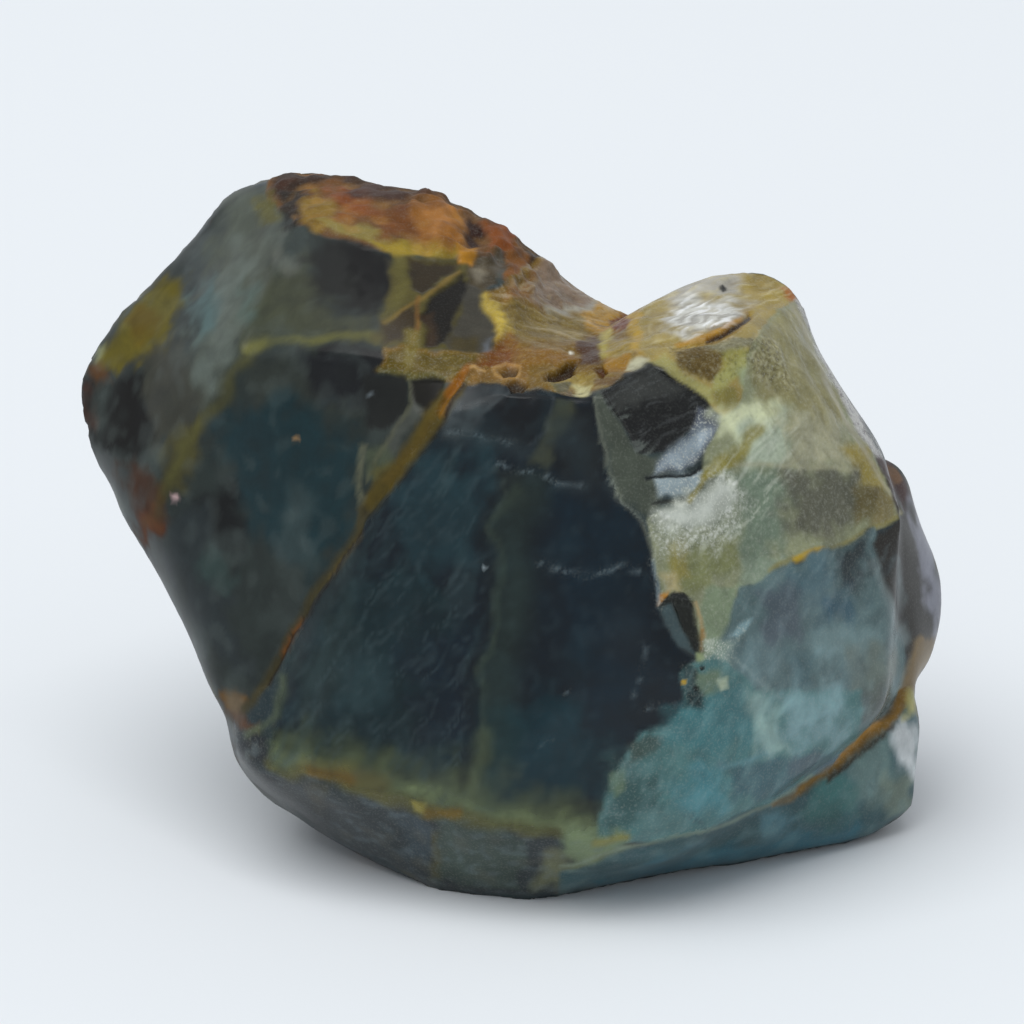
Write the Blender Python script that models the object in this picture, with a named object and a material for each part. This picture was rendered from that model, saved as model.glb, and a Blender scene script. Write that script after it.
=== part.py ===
"""A rough fluorite: one broken, blue-green translucent lump, about 44 mm across, with iron-stained cracks.

The stone is one solid. It is built the way the lump broke: five flat-faced blocks that grew together are hulled
from their corners and fused, then ledges, ripples, cracks and pits are worked into the fused skin, and the
underside is levelled where the lump rests.

Corners are (across, toward, up) in real millimetres as the stone shows itself to someone who looks at its best
side from SIGHT_DISTANCE away and SIGHT_ELEVATION above the table. Frame: +X to the viewer's right, +Y away from
the viewer, +Z up, origin on the table below the middle of the stone's box.
"""

import math

import bmesh
import bpy
import numpy as np
from mathutils import Vector, noise

MM = 0.001

# Driving dimensions, in millimetres as are all that follow
SIGHT_ELEVATION = math.radians(20)
SIGHT_DISTANCE = 284.0
TABLE_DROP = 16.5  # the table lies this far below the sight line's own centre

# How finely the skin is worked
SKIN_GRAIN = 0.36
FATTENING = 0.2  # gives back what fusing takes off the corners
FINAL_FACES = 9400

# Unevenness of the whole skin: broad swells, fine grit, and the lumps of the iron-stained rind
SWELL_HEIGHT = 0.5
SWELL_SPAN = 7.0
GRIT_HEIGHT = 0.14
GRIT_SPAN = 1.6
RIND_HEIGHT = 0.34
RIND_SPAN = 1.9

# Ledges: treads that rise along a splitting direction and end in a sharp riser, in patches
LEDGE_HEIGHT = 0.5
LEDGE_PATCH = 9.0
LEDGE_DRIFT = 0.6  # how far a riser strays from straight, as a share of the pitch
LEDGE_DRIFT_SPAN = 4.5
LEDGE_RISER = 0.16  # how much of each pitch the riser takes
LEDGES_IN_FRONT = 0.4  # share of the ledge height on the viewer's side

# Cracks, chips and pits
CRACK_WANDER = 0.35
CRACK_WANDER_SPAN = 2.5
CRACK_STEP_REACH = 3.0  # the step beside a crack fades out over this distance
CRACK_AT_RIM = 0.1  # share of a crack's depth that is left where it runs over the rim
CHIP_WALL = 0.7  # how wide a chip's wall is as it is seen
BASE_CUT = 0.3  # this much of the underside is worn level
BASE_SNAP = 0.12  # what still stands less than this above the table is laid on it


def on_table(across, toward):
    """A corner that stands on the table."""
    up = (-TABLE_DROP - toward * math.sin(SIGHT_ELEVATION)) / math.cos(SIGHT_ELEVATION)
    shrink = 1 - toward / SIGHT_DISTANCE
    return (across / shrink, toward, up / shrink)


# The front block holds the big dark pane, the right-hand faces and the foot of the stone.
FRONT_BLOCK = [
    (-2.3, 10.5, 6.3),
    (4.4, 12.0, 6.0),
    (6.9, 13.0, -2.4),
    (8.9, 12.5, -7.2),
    (5.0, 9.5, -16.6),
    (-2.1, 9.5, -15.5),
    (-9.1, 7.3, -13.5),
    (-12.7, 4.8, -12.7),
    (-13.6, 4.4, -11.2),
    (-8.1, 8.6, -1.2),
    (19.4, 3.0, -0.2),
    (18.7, 2.5, -10.2),
    (12.4, 7.0, -14.5),
    (8.9, 8.3, -16.4),
    (4.8, -1.5, 10.3),
    (-2.0, 2.0, 9.6),
    on_table(0.4, 4.4),
    on_table(-3.4, 3.6),
    (-6.6, 2.0, -17.6),
    (-9.1, 0.5, -16.2),
    (-12.5, -0.5, -14.1),
    (-13.7, 1.0, -12.3),
    (-14.0, 0.0, -10.4),
    (9.4, 1.0, -17.7),
    on_table(-8.0, -9.0),
    on_table(2.0, -12.0),
    on_table(13.0, -10.0),
    (14.0, -11.5, -8.0),
    (0.0, -14.0, -7.0),
    (-2.0, -13.5, 3.0),
    (8.0, -12.0, 6.0),
    (16.0, -8.0, 1.0),
    (-12.0, -10.5, -7.0),
]

# The left wing runs back from the big crack to the blunt left end, and carries the rust-brown top edge.
LEFT_WING = [
    (-2.4, 9.6, 6.3),
    (-6.4, 7.2, 8.3),
    (-8.4, 7.6, -1.7),
    (-12.5, 4.5, -8.9),
    (-13.9, 3.0, -10.2),
    (-14.9, 1.0, -8.9),
    (-15.8, 0.5, -5.8),
    (-18.2, -2.0, -1.5),
    (-20.8, -5.0, 3.0),
    (-21.6, -6.0, 4.2),
    (-21.5, -6.5, 6.1),
    (-20.8, -7.0, 8.1),
    (-18.1, -7.5, 11.1),
    (-14.3, -7.5, 15.6),
    (-12.9, -7.5, 16.4),
    (-10.6, -7.0, 17.1),
    (-8.3, -6.0, 16.6),
    (-4.6, -4.5, 16.0),
    (-1.6, -4.0, 14.9),
    (0.4, -3.5, 13.6),
    (1.7, -3.0, 12.2),
    (3.2, -2.5, 11.0),
    (4.9, -2.6, 9.9),
    (-13.1, 4.0, 7.8),
    (-18.1, 0.0, 0.6),
    (-10.1, 1.5, 14.0),
    (-5.6, 3.0, 12.5),
    (-0.6, 3.5, 11.1),
    (-17.0, -11.5, 3.0),
    (-12.0, -13.5, 9.0),
    (-3.0, -12.5, 10.5),
    (-10.0, -11.0, -7.0),
    (0.0, -11.0, 0.0),
]

# The crown is the silvery knob at the top right, and the pale face below it.
CROWN = [
    (5.2, 3.0, 9.9),
    (7.4, 0.5, 11.0),
    (9.4, -1.0, 11.7),
    (12.2, -1.5, 11.8),
    (13.9, -0.5, 11.1),
    (13.6, 3.2, 10.2),
    (17.3, 3.6, 3.0),
    (14.7, 0.0, 9.9),
    (15.7, 0.5, 8.1),
    (16.9, 0.8, 5.6),
    (18.1, 1.0, 2.9),
    (19.4, 3.0, -0.2),
    (6.4, 9.8, 7.5),
    (11.4, 8.4, 8.8),
    (4.6, 11.8, 5.8),
    (7.0, 12.9, -2.4),
    (9.0, 12.4, -7.0),
    (8.0, -9.0, 8.0),
    (13.0, -8.5, 8.0),
    (16.0, -8.0, 0.0),
    (2.0, -5.0, 0.0),
]

# The back right lump looks out from behind the pale face.
BACK_RIGHT_LUMP = [
    (18.1, -1.5, 2.7),
    (18.9, -2.0, 2.5),
    (19.9, -2.5, 1.1),
    (21.2, -3.0, -1.9),
    (21.8, -3.5, -4.4),
    (21.4, -3.5, -6.4),
    (20.3, -3.0, -8.3),
    (19.0, 1.0, -9.0),
    (19.2, 1.5, -1.5),
    (17.0, -10.5, 0.5),
    (18.0, -11.0, -6.0),
    (16.0, -9.0, -11.0),
    (8.0, -4.0, 0.0),
    (8.0, -4.0, -10.0),
]

# The lower right lobe sticks out under the stained crack that runs along the stone's lower right.
LOWER_LOBE = [
    (4.4, 6.0, -17.4),
    (8.4, 6.5, -16.8),
    (12.4, 5.4, -14.9),
    (16.4, 3.2, -13.1),
    (18.9, 1.2, -10.5),
    (20.2, -0.6, -8.9),
    (20.4, -2.0, -10.4),
    (20.3, -2.0, -13.4),
    (20.2, -2.5, -14.8),
    (18.6, -2.0, -15.9),
    on_table(14.3, -2.0),
    (9.4, 1.0, -17.8),
    (4.4, 3.0, -18.4),
    on_table(0.4, 4.0),
    on_table(14.0, -9.0),
    (18.0, -9.0, -11.0),
    (4.0, -6.0, -10.0),
]

BLOCKS = {
    "front block": FRONT_BLOCK,
    "left wing": LEFT_WING,
    "crown": CROWN,
    "back right lump": BACK_RIGHT_LUMP,
    "lower lobe": LOWER_LOBE,
}

# Cracks, as (route, half width, depth, step). They run through the stone along the sight line. The skin on the
# right of a route, walking along it, stands prouder than the skin on its left by the step.
CRACKS = {
    "big crack": (
        [(-2.3, 6.5), (-3.6, 4.1), (-5.4, 2.1), (-7.6, -0.2), (-8.4, -1.7), (-10.6, -5.4), (-12.5, -8.9), (-14.2, -10.4)],
        0.34,
        0.75,
        -0.5,
    ),
    "foot crack": (
        [(20.6, -8.6), (18.7, -10.4), (16.4, -12.8), (13.9, -14.2), (9.4, -16.3), (4.4, -17.3)],
        0.36,
        0.7,
        0.0,
    ),
    "crown crack": ([(6.0, 7.2), (8.9, 8.2), (11.2, 9.2), (12.1, 9.9)], 0.25, 0.7, 0.0),
    "pane ridge": ([(-0.9, 0.6), (-1.7, -6.4), (-1.8, -13.4)], 0.6, -0.2, 0.0),
}

# Chips are flat floors where a piece came away: corners as (across, up, how far the floor is sunk there).
CHIPS = {
    "dark window": [(4.4, 5.9, 0.0), (6.9, 7.3, 1.1), (10.3, 5.0, 1.0), (9.4, 3.4, 0.4), (6.3, 2.0, 0.0)],
    "scoop": [(-2.2, 6.0, 0.4), (1.9, 6.2, 0.4), (1.9, 4.4, 0.2), (0.6, 2.7, 0.0), (-2.2, 3.4, 0.1)],
    "upper step": [(6.5, 2.6, 0.0), (9.5, 4.1, 0.9), (9.9, 2.0, 0.8), (6.4, 0.9, 0.1)],
    "notch": [(7.4, -4.2, 0.2), (8.7, -4.0, 0.9), (9.3, -6.9, 0.3), (8.6, -7.2, 0.1)],
    "wing hollow": [(-12.9, 8.4, 0.0), (-10.5, 14.2, 1.0), (-5.7, 12.4, 1.2), (-5.3, 9.6, 0.7), (-8.6, 8.3, 0.0)],
    "small hollow": [(-4.7, 12.6, 0.8), (-2.1, 12.7, 0.9), (-2.6, 11.2, 0.5), (-4.6, 9.6, 0.2)],
    "tall hollow": [(-4.6, 9.4, 0.4), (-2.3, 11.6, 0.8), (-0.6, 10.6, 0.9), (-1.1, 7.7, 0.5), (-4.4, 7.9, 0.3)],
}

# Pits are small round holes in the front, (across, up, radius, depth).
PITS = [
    (-1.2, 6.9, 0.5, 0.6),
    (0.8, 6.6, 0.8, 0.8),
    (3.1, 6.9, 0.8, 0.8),
    (4.0, 6.7, 0.5, 0.6),
    (5.2, 9.4, 0.6, 0.6),
    (12.8, 9.7, 0.5, 0.5),
    (9.1, -8.4, 0.4, 0.5),
]

# Outlines on the front, as (across, up) corners
PANE = [(-2.3, 6.3), (4.4, 6.0), (6.9, -2.4), (8.9, -7.2), (5.0, -16.0), (-9.1, -13.2), (-13.2, -11.0), (-8.1, -1.2)]
WING_FACE = [(-12.0, 7.5), (-5.8, 7.0), (-8.6, -2.0), (-13.6, -9.5), (-18.5, -1.5)]
PALE_FACE = [(10.4, 8.6), (15.0, 8.6), (19.2, 0.0), (18.9, -8.5), (9.8, -14.8), (9.3, -7.0), (9.6, 1.0)]
RIND = [(-11.8, 17.4), (-10.4, 14.8), (-5.2, 13.0), (-1.9, 13.2), (-0.7, 9.6), (-1.6, 7.4), (4.6, 7.2), (5.4, 10.2), (0.5, 14.2)]

# Where the front split clean, only this share of the swells and of the ledges is left: (outline, swells, ledges).
CLEAN_SPLITS = [(PANE, 0.4, 0.12), (WING_FACE, 0.6, 0.3), (PALE_FACE, 0.8, 0.3)]

# Fluorite splits along four directions. The ledges step along them: (direction, pitch).
CLEAVAGES = [
    (Vector((0.3, -0.9, 0.3)).normalized(), 3.1),
    (Vector((0.9, -0.1, 0.45)).normalized(), 2.6),
    (Vector((-0.55, -0.35, 0.75)).normalized(), 2.9),
    (Vector((0.2, 0.45, 0.87)).normalized(), 3.6),
]


def from_sight(across, toward, up):
    """A point given as it is seen, in the stone's own upright frame. Arrays work too."""
    shrink = 1 - toward / SIGHT_DISTANCE
    across, up = across * shrink, up * shrink
    sine, cosine = math.sin(SIGHT_ELEVATION), math.cos(SIGHT_ELEVATION)
    return across, up * sine - toward * cosine, up * cosine + toward * sine + TABLE_DROP


def to_sight(points):
    """Upright points as three arrays, across, toward and up, as they are seen."""
    height = points[:, 2] - TABLE_DROP
    sine, cosine = math.sin(SIGHT_ELEVATION), math.cos(SIGHT_ELEVATION)
    toward = height * sine - points[:, 1] * cosine
    shrink = 1 - toward / SIGHT_DISTANCE
    return points[:, 0] / shrink, toward, (points[:, 1] * sine + height * cosine) / shrink


def smooth_step(low, high, value):
    share = np.clip((value - low) / (high - low), 0, 1)
    return share * share * (3 - 2 * share)


def field(points, span, seed):
    """Smooth noise from -1 to 1 at each point, with lumps about one span across."""
    shift = Vector((17.3, -9.1, 5.7)) * seed
    return np.array([noise.noise(Vector(point) / span + shift) for point in points])


def beside_route(across, up, route):
    """Distance of each seen point from a route, with + on the right of it, walking from its first point."""
    nearest = np.full(len(across), np.inf)
    side = np.ones(len(across))
    for (x0, y0), (x1, y1) in zip(route, route[1:]):
        run = np.array((x1 - x0, y1 - y0))
        along = np.clip(((across - x0) * run[0] + (up - y0) * run[1]) / (run @ run), 0, 1)
        dx, dy = across - x0 - along * run[0], up - y0 - along * run[1]
        closer = np.hypot(dx, dy) < nearest
        nearest[closer] = np.hypot(dx, dy)[closer]
        side[closer] = np.where(run[0] * dy[closer] - run[1] * dx[closer] < 0, 1, -1)
    return nearest * side


def depth_inside(across, up, corners):
    """How far inside a closed outline each seen point lies, and 0 outside it."""
    inside = np.zeros(len(across), bool)
    for (x0, y0), (x1, y1) in zip(corners, corners[1:] + corners[:1]):
        if y0 == y1:
            continue
        crosses = (y0 > up) != (y1 > up)
        inside ^= crosses & (across < x0 + (up - y0) * (x1 - x0) / (y1 - y0))
    return np.where(inside, np.abs(beside_route(across, up, corners + corners[:1])), 0)


def hulled_blocks():
    """One mesh that holds the hull of every block. The hulls run into one another."""
    together = bmesh.new()
    for corners in BLOCKS.values():
        verts = [together.verts.new(from_sight(*corner)) for corner in corners]
        made = bmesh.ops.convex_hull(together, input=verts)
        inner = [item for item in made["geom_interior"] if isinstance(item, bmesh.types.BMVert)]
        bmesh.ops.delete(together, geom=inner, context="VERTS")
    bmesh.ops.recalc_face_normals(together, faces=together.faces)
    mesh = bpy.data.meshes.new("blocks")
    together.to_mesh(mesh)
    together.free()
    return mesh


def carry_out(stone):
    """Applies the stone's modifiers to its mesh."""
    graph = bpy.context.evaluated_depsgraph_get()
    mesh = bpy.data.meshes.new_from_object(stone.evaluated_get(graph))
    stone.modifiers.clear()
    stone.data = mesh


def read_skin(mesh):
    """The mesh's points and normals, and how squarely each faces the viewer, from -1 to 1."""
    points = np.empty(len(mesh.vertices) * 3)
    normals = np.empty(len(mesh.vertices) * 3)
    mesh.vertices.foreach_get("co", points)
    mesh.vertex_normals.foreach_get("vector", normals)
    points, normals = points.reshape(-1, 3), normals.reshape(-1, 3)
    facing = normals[:, 2] * math.sin(SIGHT_ELEVATION) - normals[:, 1] * math.cos(SIGHT_ELEVATION)
    return points, normals, facing


def write_skin(mesh, points):
    mesh.vertices.foreach_set("co", points.ravel())
    mesh.update()


def ledges(points, normals):
    height = np.zeros(len(points))
    for seed, (way, pitch) in enumerate(CLEAVAGES, start=3):
        patch = smooth_step(0.0, 0.25, field(points, LEDGE_PATCH, seed))
        drift = LEDGE_DRIFT * pitch * field(points, LEDGE_DRIFT_SPAN, seed + len(CLEAVAGES))
        run = (points @ np.array(way) + drift) / pitch
        tread = run - np.floor(run)
        tread -= smooth_step(1 - LEDGE_RISER, 1, tread) + (1 - LEDGE_RISER) / 2
        across_way = 1 - np.abs(normals @ np.array(way))
        height += patch * across_way * LEDGE_HEIGHT * tread
    return height


def roughen(mesh):
    points, normals, facing = read_skin(mesh)
    across, _, up = to_sight(points)
    swell_share = np.ones(len(points))
    ledge_share = 1 - (1 - LEDGES_IN_FRONT) * smooth_step(0, 0.4, facing)
    for outline, swells, treads in CLEAN_SPLITS:
        clean = smooth_step(0, 1, depth_inside(across, up, outline)) * (facing > 0.2)
        swell_share *= 1 - clean * (1 - swells)
        ledge_share *= 1 - clean * (1 - treads)
    rind = smooth_step(0, 1, depth_inside(across, up, RIND))
    height = FATTENING + swell_share * SWELL_HEIGHT * field(points, SWELL_SPAN, 1)
    height += swell_share * GRIT_HEIGHT * field(points, GRIT_SPAN, 2)
    height += rind * RIND_HEIGHT * field(points, RIND_SPAN, 12)
    height += ledge_share * ledges(points, normals)
    write_skin(mesh, points + normals * height[:, None])


def knock_out_chips(mesh):
    points, _, facing = read_skin(mesh)
    across, toward, up = to_sight(points)
    in_front = facing > 0.15
    for corners in CHIPS.values():
        levels = []
        for x, y, sunk in corners:
            gap = np.where(in_front, np.hypot(across - x, up - y), np.inf)
            levels.append(toward[np.argmin(gap)] - sunk)
        rows = np.array([(x, y, 1) for x, y, _ in corners])
        tilt = np.linalg.lstsq(rows, np.array(levels), rcond=None)[0]
        floor = tilt[0] * across + tilt[1] * up + tilt[2]
        reach = depth_inside(across, up, [corner[:2] for corner in corners])
        drop = np.maximum(toward - floor, 0) * smooth_step(0, CHIP_WALL, reach)
        toward = toward - np.where(in_front, drop, 0)
    write_skin(mesh, np.stack(from_sight(across, toward, up), axis=1))


def open_cracks(mesh):
    points, normals, facing = read_skin(mesh)
    across, _, up = to_sight(points)
    wander = CRACK_WANDER * field(points, CRACK_WANDER_SPAN, 13)
    at_face = CRACK_AT_RIM + (1 - CRACK_AT_RIM) * smooth_step(0.1, 0.6, np.abs(facing))
    height = np.zeros(len(points))
    for route, half_width, depth, step in CRACKS.values():
        beside = beside_route(across, up, route) + wander
        height -= at_face * depth * np.exp(-((beside / half_width) ** 2))
        near = np.exp(-((beside / CRACK_STEP_REACH) ** 2))
        height += at_face * step * near * (smooth_step(-half_width, half_width, -beside) - 0.5)
    for x, y, radius, depth in PITS:
        reach = np.hypot(across - x, up - y) / radius
        height -= np.where(facing > 0.1, depth * np.exp(-(reach**4)), 0)
    write_skin(mesh, points + normals * height[:, None])


def level_underside(mesh, cut):
    points = read_skin(mesh)[0]
    height = points[:, 2] - cut
    points[:, 2] = np.where(height < BASE_SNAP, 0, height)
    write_skin(mesh, points)


def lighten_mesh(stone):
    """Merges the skin's small faces until FINAL_FACES are left."""
    stone.data.calc_loop_triangles()
    thin = stone.modifiers.new("thin", "DECIMATE")
    thin.ratio = FINAL_FACES / len(stone.data.loop_triangles)
    thin.use_collapse_triangulate = True
    carry_out(stone)
    level_underside(stone.data, 0)


def set_on_origin(mesh):
    """Sets the stone's box with its bottom centre on the origin, in metres, and returns where that point was."""
    points = read_skin(mesh)[0]
    low, high = points.min(axis=0), points.max(axis=0)
    middle = np.array(((low[0] + high[0]) / 2, (low[1] + high[1]) / 2, low[2]))
    write_skin(mesh, (points - middle) * MM)
    return middle


def give_finish(stone):
    """Deep blue-green, glassy where it split clean."""
    glassy = bpy.data.materials.new("blue-green fluorite")
    glassy.use_nodes = True
    shader = glassy.node_tree.nodes["Principled BSDF"]
    shader.inputs["Base Color"].default_value = (0.045, 0.105, 0.115, 1)
    shader.inputs["Roughness"].default_value = 0.3
    shader.inputs["Metallic"].default_value = 0.0
    shader.inputs["IOR"].default_value = 1.434
    stone.data.materials.append(glassy)
    stone.data.shade_smooth()
    stone.data.set_sharp_from_angle(angle=math.radians(30))


def build_stone():
    stone = bpy.data.objects.new("fluorite", hulled_blocks())
    bpy.context.scene.collection.objects.link(stone)
    fuse = stone.modifiers.new("fuse", "REMESH")
    fuse.mode = "VOXEL"
    fuse.voxel_size = SKIN_GRAIN
    fuse.adaptivity = 0
    carry_out(stone)
    roughen(stone.data)
    knock_out_chips(stone.data)
    open_cracks(stone.data)
    level_underside(stone.data, BASE_CUT)
    lighten_mesh(stone)
    middle = set_on_origin(stone.data)
    give_finish(stone)
    return middle


def main():
    for thing in list(bpy.data.objects):
        bpy.data.objects.remove(thing)
    return build_stone()


MIDDLE = main()
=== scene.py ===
"""The looks of a rough fluorite: a broken, blue-green lump, glassy where it split, stained by iron elsewhere.

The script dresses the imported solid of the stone, and sets it on a pale table under soft light.
Lengths of the stone are in millimetres until its mesh is finished, then in metres as the frame is.
"""
import math

import bmesh
import bpy
import numpy as np
from mathutils import Matrix, Vector, noise


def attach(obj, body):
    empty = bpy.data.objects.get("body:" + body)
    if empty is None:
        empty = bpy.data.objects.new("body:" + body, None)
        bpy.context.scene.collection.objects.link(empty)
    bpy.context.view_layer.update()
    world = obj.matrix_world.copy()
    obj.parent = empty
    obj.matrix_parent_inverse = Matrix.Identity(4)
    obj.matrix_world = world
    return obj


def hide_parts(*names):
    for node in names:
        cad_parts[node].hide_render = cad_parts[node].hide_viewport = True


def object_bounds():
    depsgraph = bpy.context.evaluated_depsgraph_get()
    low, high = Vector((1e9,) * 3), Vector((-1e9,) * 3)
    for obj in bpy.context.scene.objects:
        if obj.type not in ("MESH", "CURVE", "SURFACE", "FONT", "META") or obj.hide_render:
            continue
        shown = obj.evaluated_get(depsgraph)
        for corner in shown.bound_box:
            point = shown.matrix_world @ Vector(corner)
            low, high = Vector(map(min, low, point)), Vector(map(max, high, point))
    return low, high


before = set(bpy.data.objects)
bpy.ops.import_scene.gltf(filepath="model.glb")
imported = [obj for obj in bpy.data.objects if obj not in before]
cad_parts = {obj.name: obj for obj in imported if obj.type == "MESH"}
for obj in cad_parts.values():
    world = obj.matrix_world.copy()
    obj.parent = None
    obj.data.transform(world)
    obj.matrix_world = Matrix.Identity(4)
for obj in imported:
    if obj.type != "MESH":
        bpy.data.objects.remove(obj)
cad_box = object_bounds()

scene = bpy.context.scene
scene.view_settings.view_transform = "Standard"

# The camera. It stands where someone stands who looks down at the stone's best side: 20 degrees above the
# table and 284 mm off, with a long lens.
MM = 0.001
SIGHT_POINT = np.array((0.15, -0.76, 16.2))
SIGHT_ELEVATION = math.radians(20)
SIGHT_DISTANCE = 284.0
VIEW_WIDTH = 51.2  # this much of the stone's middle fits across the picture
SENSOR = 36.0
SINE, COSINE = math.sin(SIGHT_ELEVATION), math.cos(SIGHT_ELEVATION)

camera = bpy.data.objects.new("camera", bpy.data.cameras.new("camera"))
scene.collection.objects.link(camera)
camera.data.sensor_width = SENSOR
camera.data.lens = SENSOR * SIGHT_DISTANCE / VIEW_WIDTH
camera.data.clip_start = 0.01
camera.data.clip_end = 50
camera.location = (SIGHT_POINT + SIGHT_DISTANCE * np.array((0, -COSINE, SINE))) * MM
camera.rotation_euler = (math.pi / 2 - SIGHT_ELEVATION, 0, 0)
scene.camera = camera


# The table and the light. A sheet of matt, cold white board lies on the table, under one large lamp with a
# white diffuser above it and a little to the left, in a pale room.
def colour(code):
    """An sRGB hex colour as linear red, green and blue."""
    parts = [int(code[at : at + 2], 16) / 255 for at in (1, 3, 5)]
    return np.array([part / 12.92 if part <= 0.04045 else ((part + 0.055) / 1.055) ** 2.4 for part in parts])


def add_node(tree, kind, links=(), **settings):
    """One node. A setting is a value of the node's own, or an input's when its name ends in an underscore."""
    node = tree.nodes.new(kind)
    for name, value in settings.items():
        if name.endswith("_"):
            number = name[1:-1]
            socket = int(number) if number.isdigit() else name[:-1].replace("_", " ")
            node.inputs[socket].default_value = value
        else:
            setattr(node, name, value)
    for source, target in links:
        tree.links.new(source, node.inputs[target])
    return node


BOARD_WHITE = "#e6eaee"
BOARD_SIDE = 6.0
LAMP_SIDE = 1.4
LAMP_PLACE = Vector((-0.35, -0.3, 1.4))
LAMP_POWER = 15.0
ROOM_COLOUR = (0.93, 0.965, 1.0, 1)
ROOM_STRENGTH = 0.6

board = bpy.data.objects.new("board", bpy.data.meshes.new("board"))
scene.collection.objects.link(board)
half = BOARD_SIDE / 2
board_corners = [(-half, -half, 0), (half, -half, 0), (half, half, 0), (-half, half, 0)]
board.data.from_pydata(board_corners, [], [(0, 1, 2, 3)])
matt_board = bpy.data.materials.new("matt white board")
matt_board.use_nodes = True
board_shader = matt_board.node_tree.nodes["Principled BSDF"]
board_shader.inputs["Base Color"].default_value = (*colour(BOARD_WHITE), 1)
board_shader.inputs["Roughness"].default_value = 0.9
board_shader.inputs["Specular IOR Level"].default_value = 0.1
board.data.materials.append(matt_board)

lamp = bpy.data.objects.new("lamp", bpy.data.lights.new("lamp", "AREA"))
scene.collection.objects.link(lamp)
lamp.data.shape = "SQUARE"
lamp.data.size = LAMP_SIDE
lamp.data.energy = LAMP_POWER
lamp.data.color = (1.0, 0.995, 0.985)
lamp.location = LAMP_PLACE
lamp.rotation_euler = (-LAMP_PLACE).to_track_quat("-Z", "Y").to_euler()

room = bpy.data.worlds.new("pale room")
room.use_nodes = True
room.node_tree.nodes["Background"].inputs["Color"].default_value = ROOM_COLOUR
room.node_tree.nodes["Background"].inputs["Strength"].default_value = ROOM_STRENGTH
scene.world = room


# The lump. A natural piece of fluorite, broken out of its vein along four splitting directions. The packed
# solid gives its form: its mesh is copied, its facets are evened out and its splits keep their edges.
GRAIN = 0.52  # size of the new skin's squares, halved on the front and again where the stone is rough
SPLIT_ANGLE = math.radians(32)  # faces that meet at less than this belong to one split
EVENING_ROUNDS = 8
HALVING_ROUNDS = 3
WELD = 0.002


def smooth_step(low, high, value):
    share = np.clip((value - low) / (high - low), 0, 1)
    return share * share * (3 - 2 * share)


STEPS = 20.0  # steps to a millimetre
MIDDLE = 512.0


def front_view(points):
    """Where points show in the picture, in steps right and down, and how many mm nearer than its middle."""
    away = points - SIGHT_POINT
    toward = away[:, 2] * SINE - away[:, 1] * COSINE
    scale = STEPS / (1 - toward / SIGHT_DISTANCE)
    return MIDDLE + away[:, 0] * scale, MIDDLE - (away[:, 1] * SINE + away[:, 2] * COSINE) * scale, toward


class Skin:
    """The stone's skin as arrays: points, and for each face corner its point, the next one and its face."""

    def __init__(self, mesh):
        self.mesh = mesh
        self.points = np.empty(len(mesh.vertices) * 3)
        mesh.vertices.foreach_get("co", self.points)
        self.points = self.points.reshape(-1, 3)
        corners = np.empty(len(mesh.loops), np.int32)
        edges = np.empty(len(mesh.loops), np.int32)
        mesh.loops.foreach_get("vertex_index", corners)
        mesh.loops.foreach_get("edge_index", edges)
        starts = np.empty(len(mesh.polygons), np.int32)
        totals = np.empty(len(mesh.polygons), np.int32)
        mesh.polygons.foreach_get("loop_start", starts)
        mesh.polygons.foreach_get("loop_total", totals)
        self.corner = corners
        self.face = np.repeat(np.arange(len(starts)), totals)
        following = np.arange(len(corners)) + 1
        following[starts + totals - 1] = starts
        self.following = corners[following]
        self.sides = totals
        order = np.argsort(edges, kind="stable")
        self.pair_a, self.pair_b = self.face[order[0::2]], self.face[order[1::2]]
        self.around = np.bincount(corners, minlength=len(self.points))

    def gather(self, where, values, count):
        """Adds up rows of values at the places that where names."""
        return np.stack([np.bincount(where, values[:, axis], count) for axis in range(3)], axis=1)

    def face_normals(self):
        crosses = np.cross(self.points[self.corner], self.points[self.following])
        summed = self.gather(self.face, crosses, len(self.sides))
        return summed / np.maximum(np.linalg.norm(summed, axis=1), 1e-12)[:, None]

    def normals(self):
        summed = self.gather(self.corner, self.face_normals()[self.face], len(self.points))
        return summed / np.maximum(np.linalg.norm(summed, axis=1), 1e-12)[:, None]

    def even_out(self, rounds, angle):
        """Evens out faces that belong to one split, and keeps the edges between splits."""
        limit = math.cos(angle)
        faces = self.face_normals()
        for _ in range(rounds):
            alike = np.einsum("ij,ij->i", faces[self.pair_a], faces[self.pair_b])
            weight = (np.maximum(alike - limit, 0) ** 2)[:, None]
            mixed = faces * (1 - limit) ** 2
            mixed += self.gather(self.pair_a, faces[self.pair_b] * weight, len(faces))
            mixed += self.gather(self.pair_b, faces[self.pair_a] * weight, len(faces))
            faces = mixed / np.linalg.norm(mixed, axis=1)[:, None]
        for _ in range(rounds):
            middles = self.gather(self.face, self.points[self.corner], len(faces)) / self.sides[:, None]
            gap = middles[self.face] - self.points[self.corner]
            lift = np.einsum("ij,ij->i", faces[self.face], gap)[:, None] * faces[self.face]
            self.points += self.gather(self.corner, lift, len(self.points)) / self.around[:, None]

    def write(self):
        self.mesh.vertices.foreach_set("co", self.points.ravel())
        self.mesh.update()


def apply_modifiers(thing):
    graph = bpy.context.evaluated_depsgraph_get()
    mesh = bpy.data.meshes.new_from_object(thing.evaluated_get(graph))
    thing.modifiers.clear()
    thing.data = mesh


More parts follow.
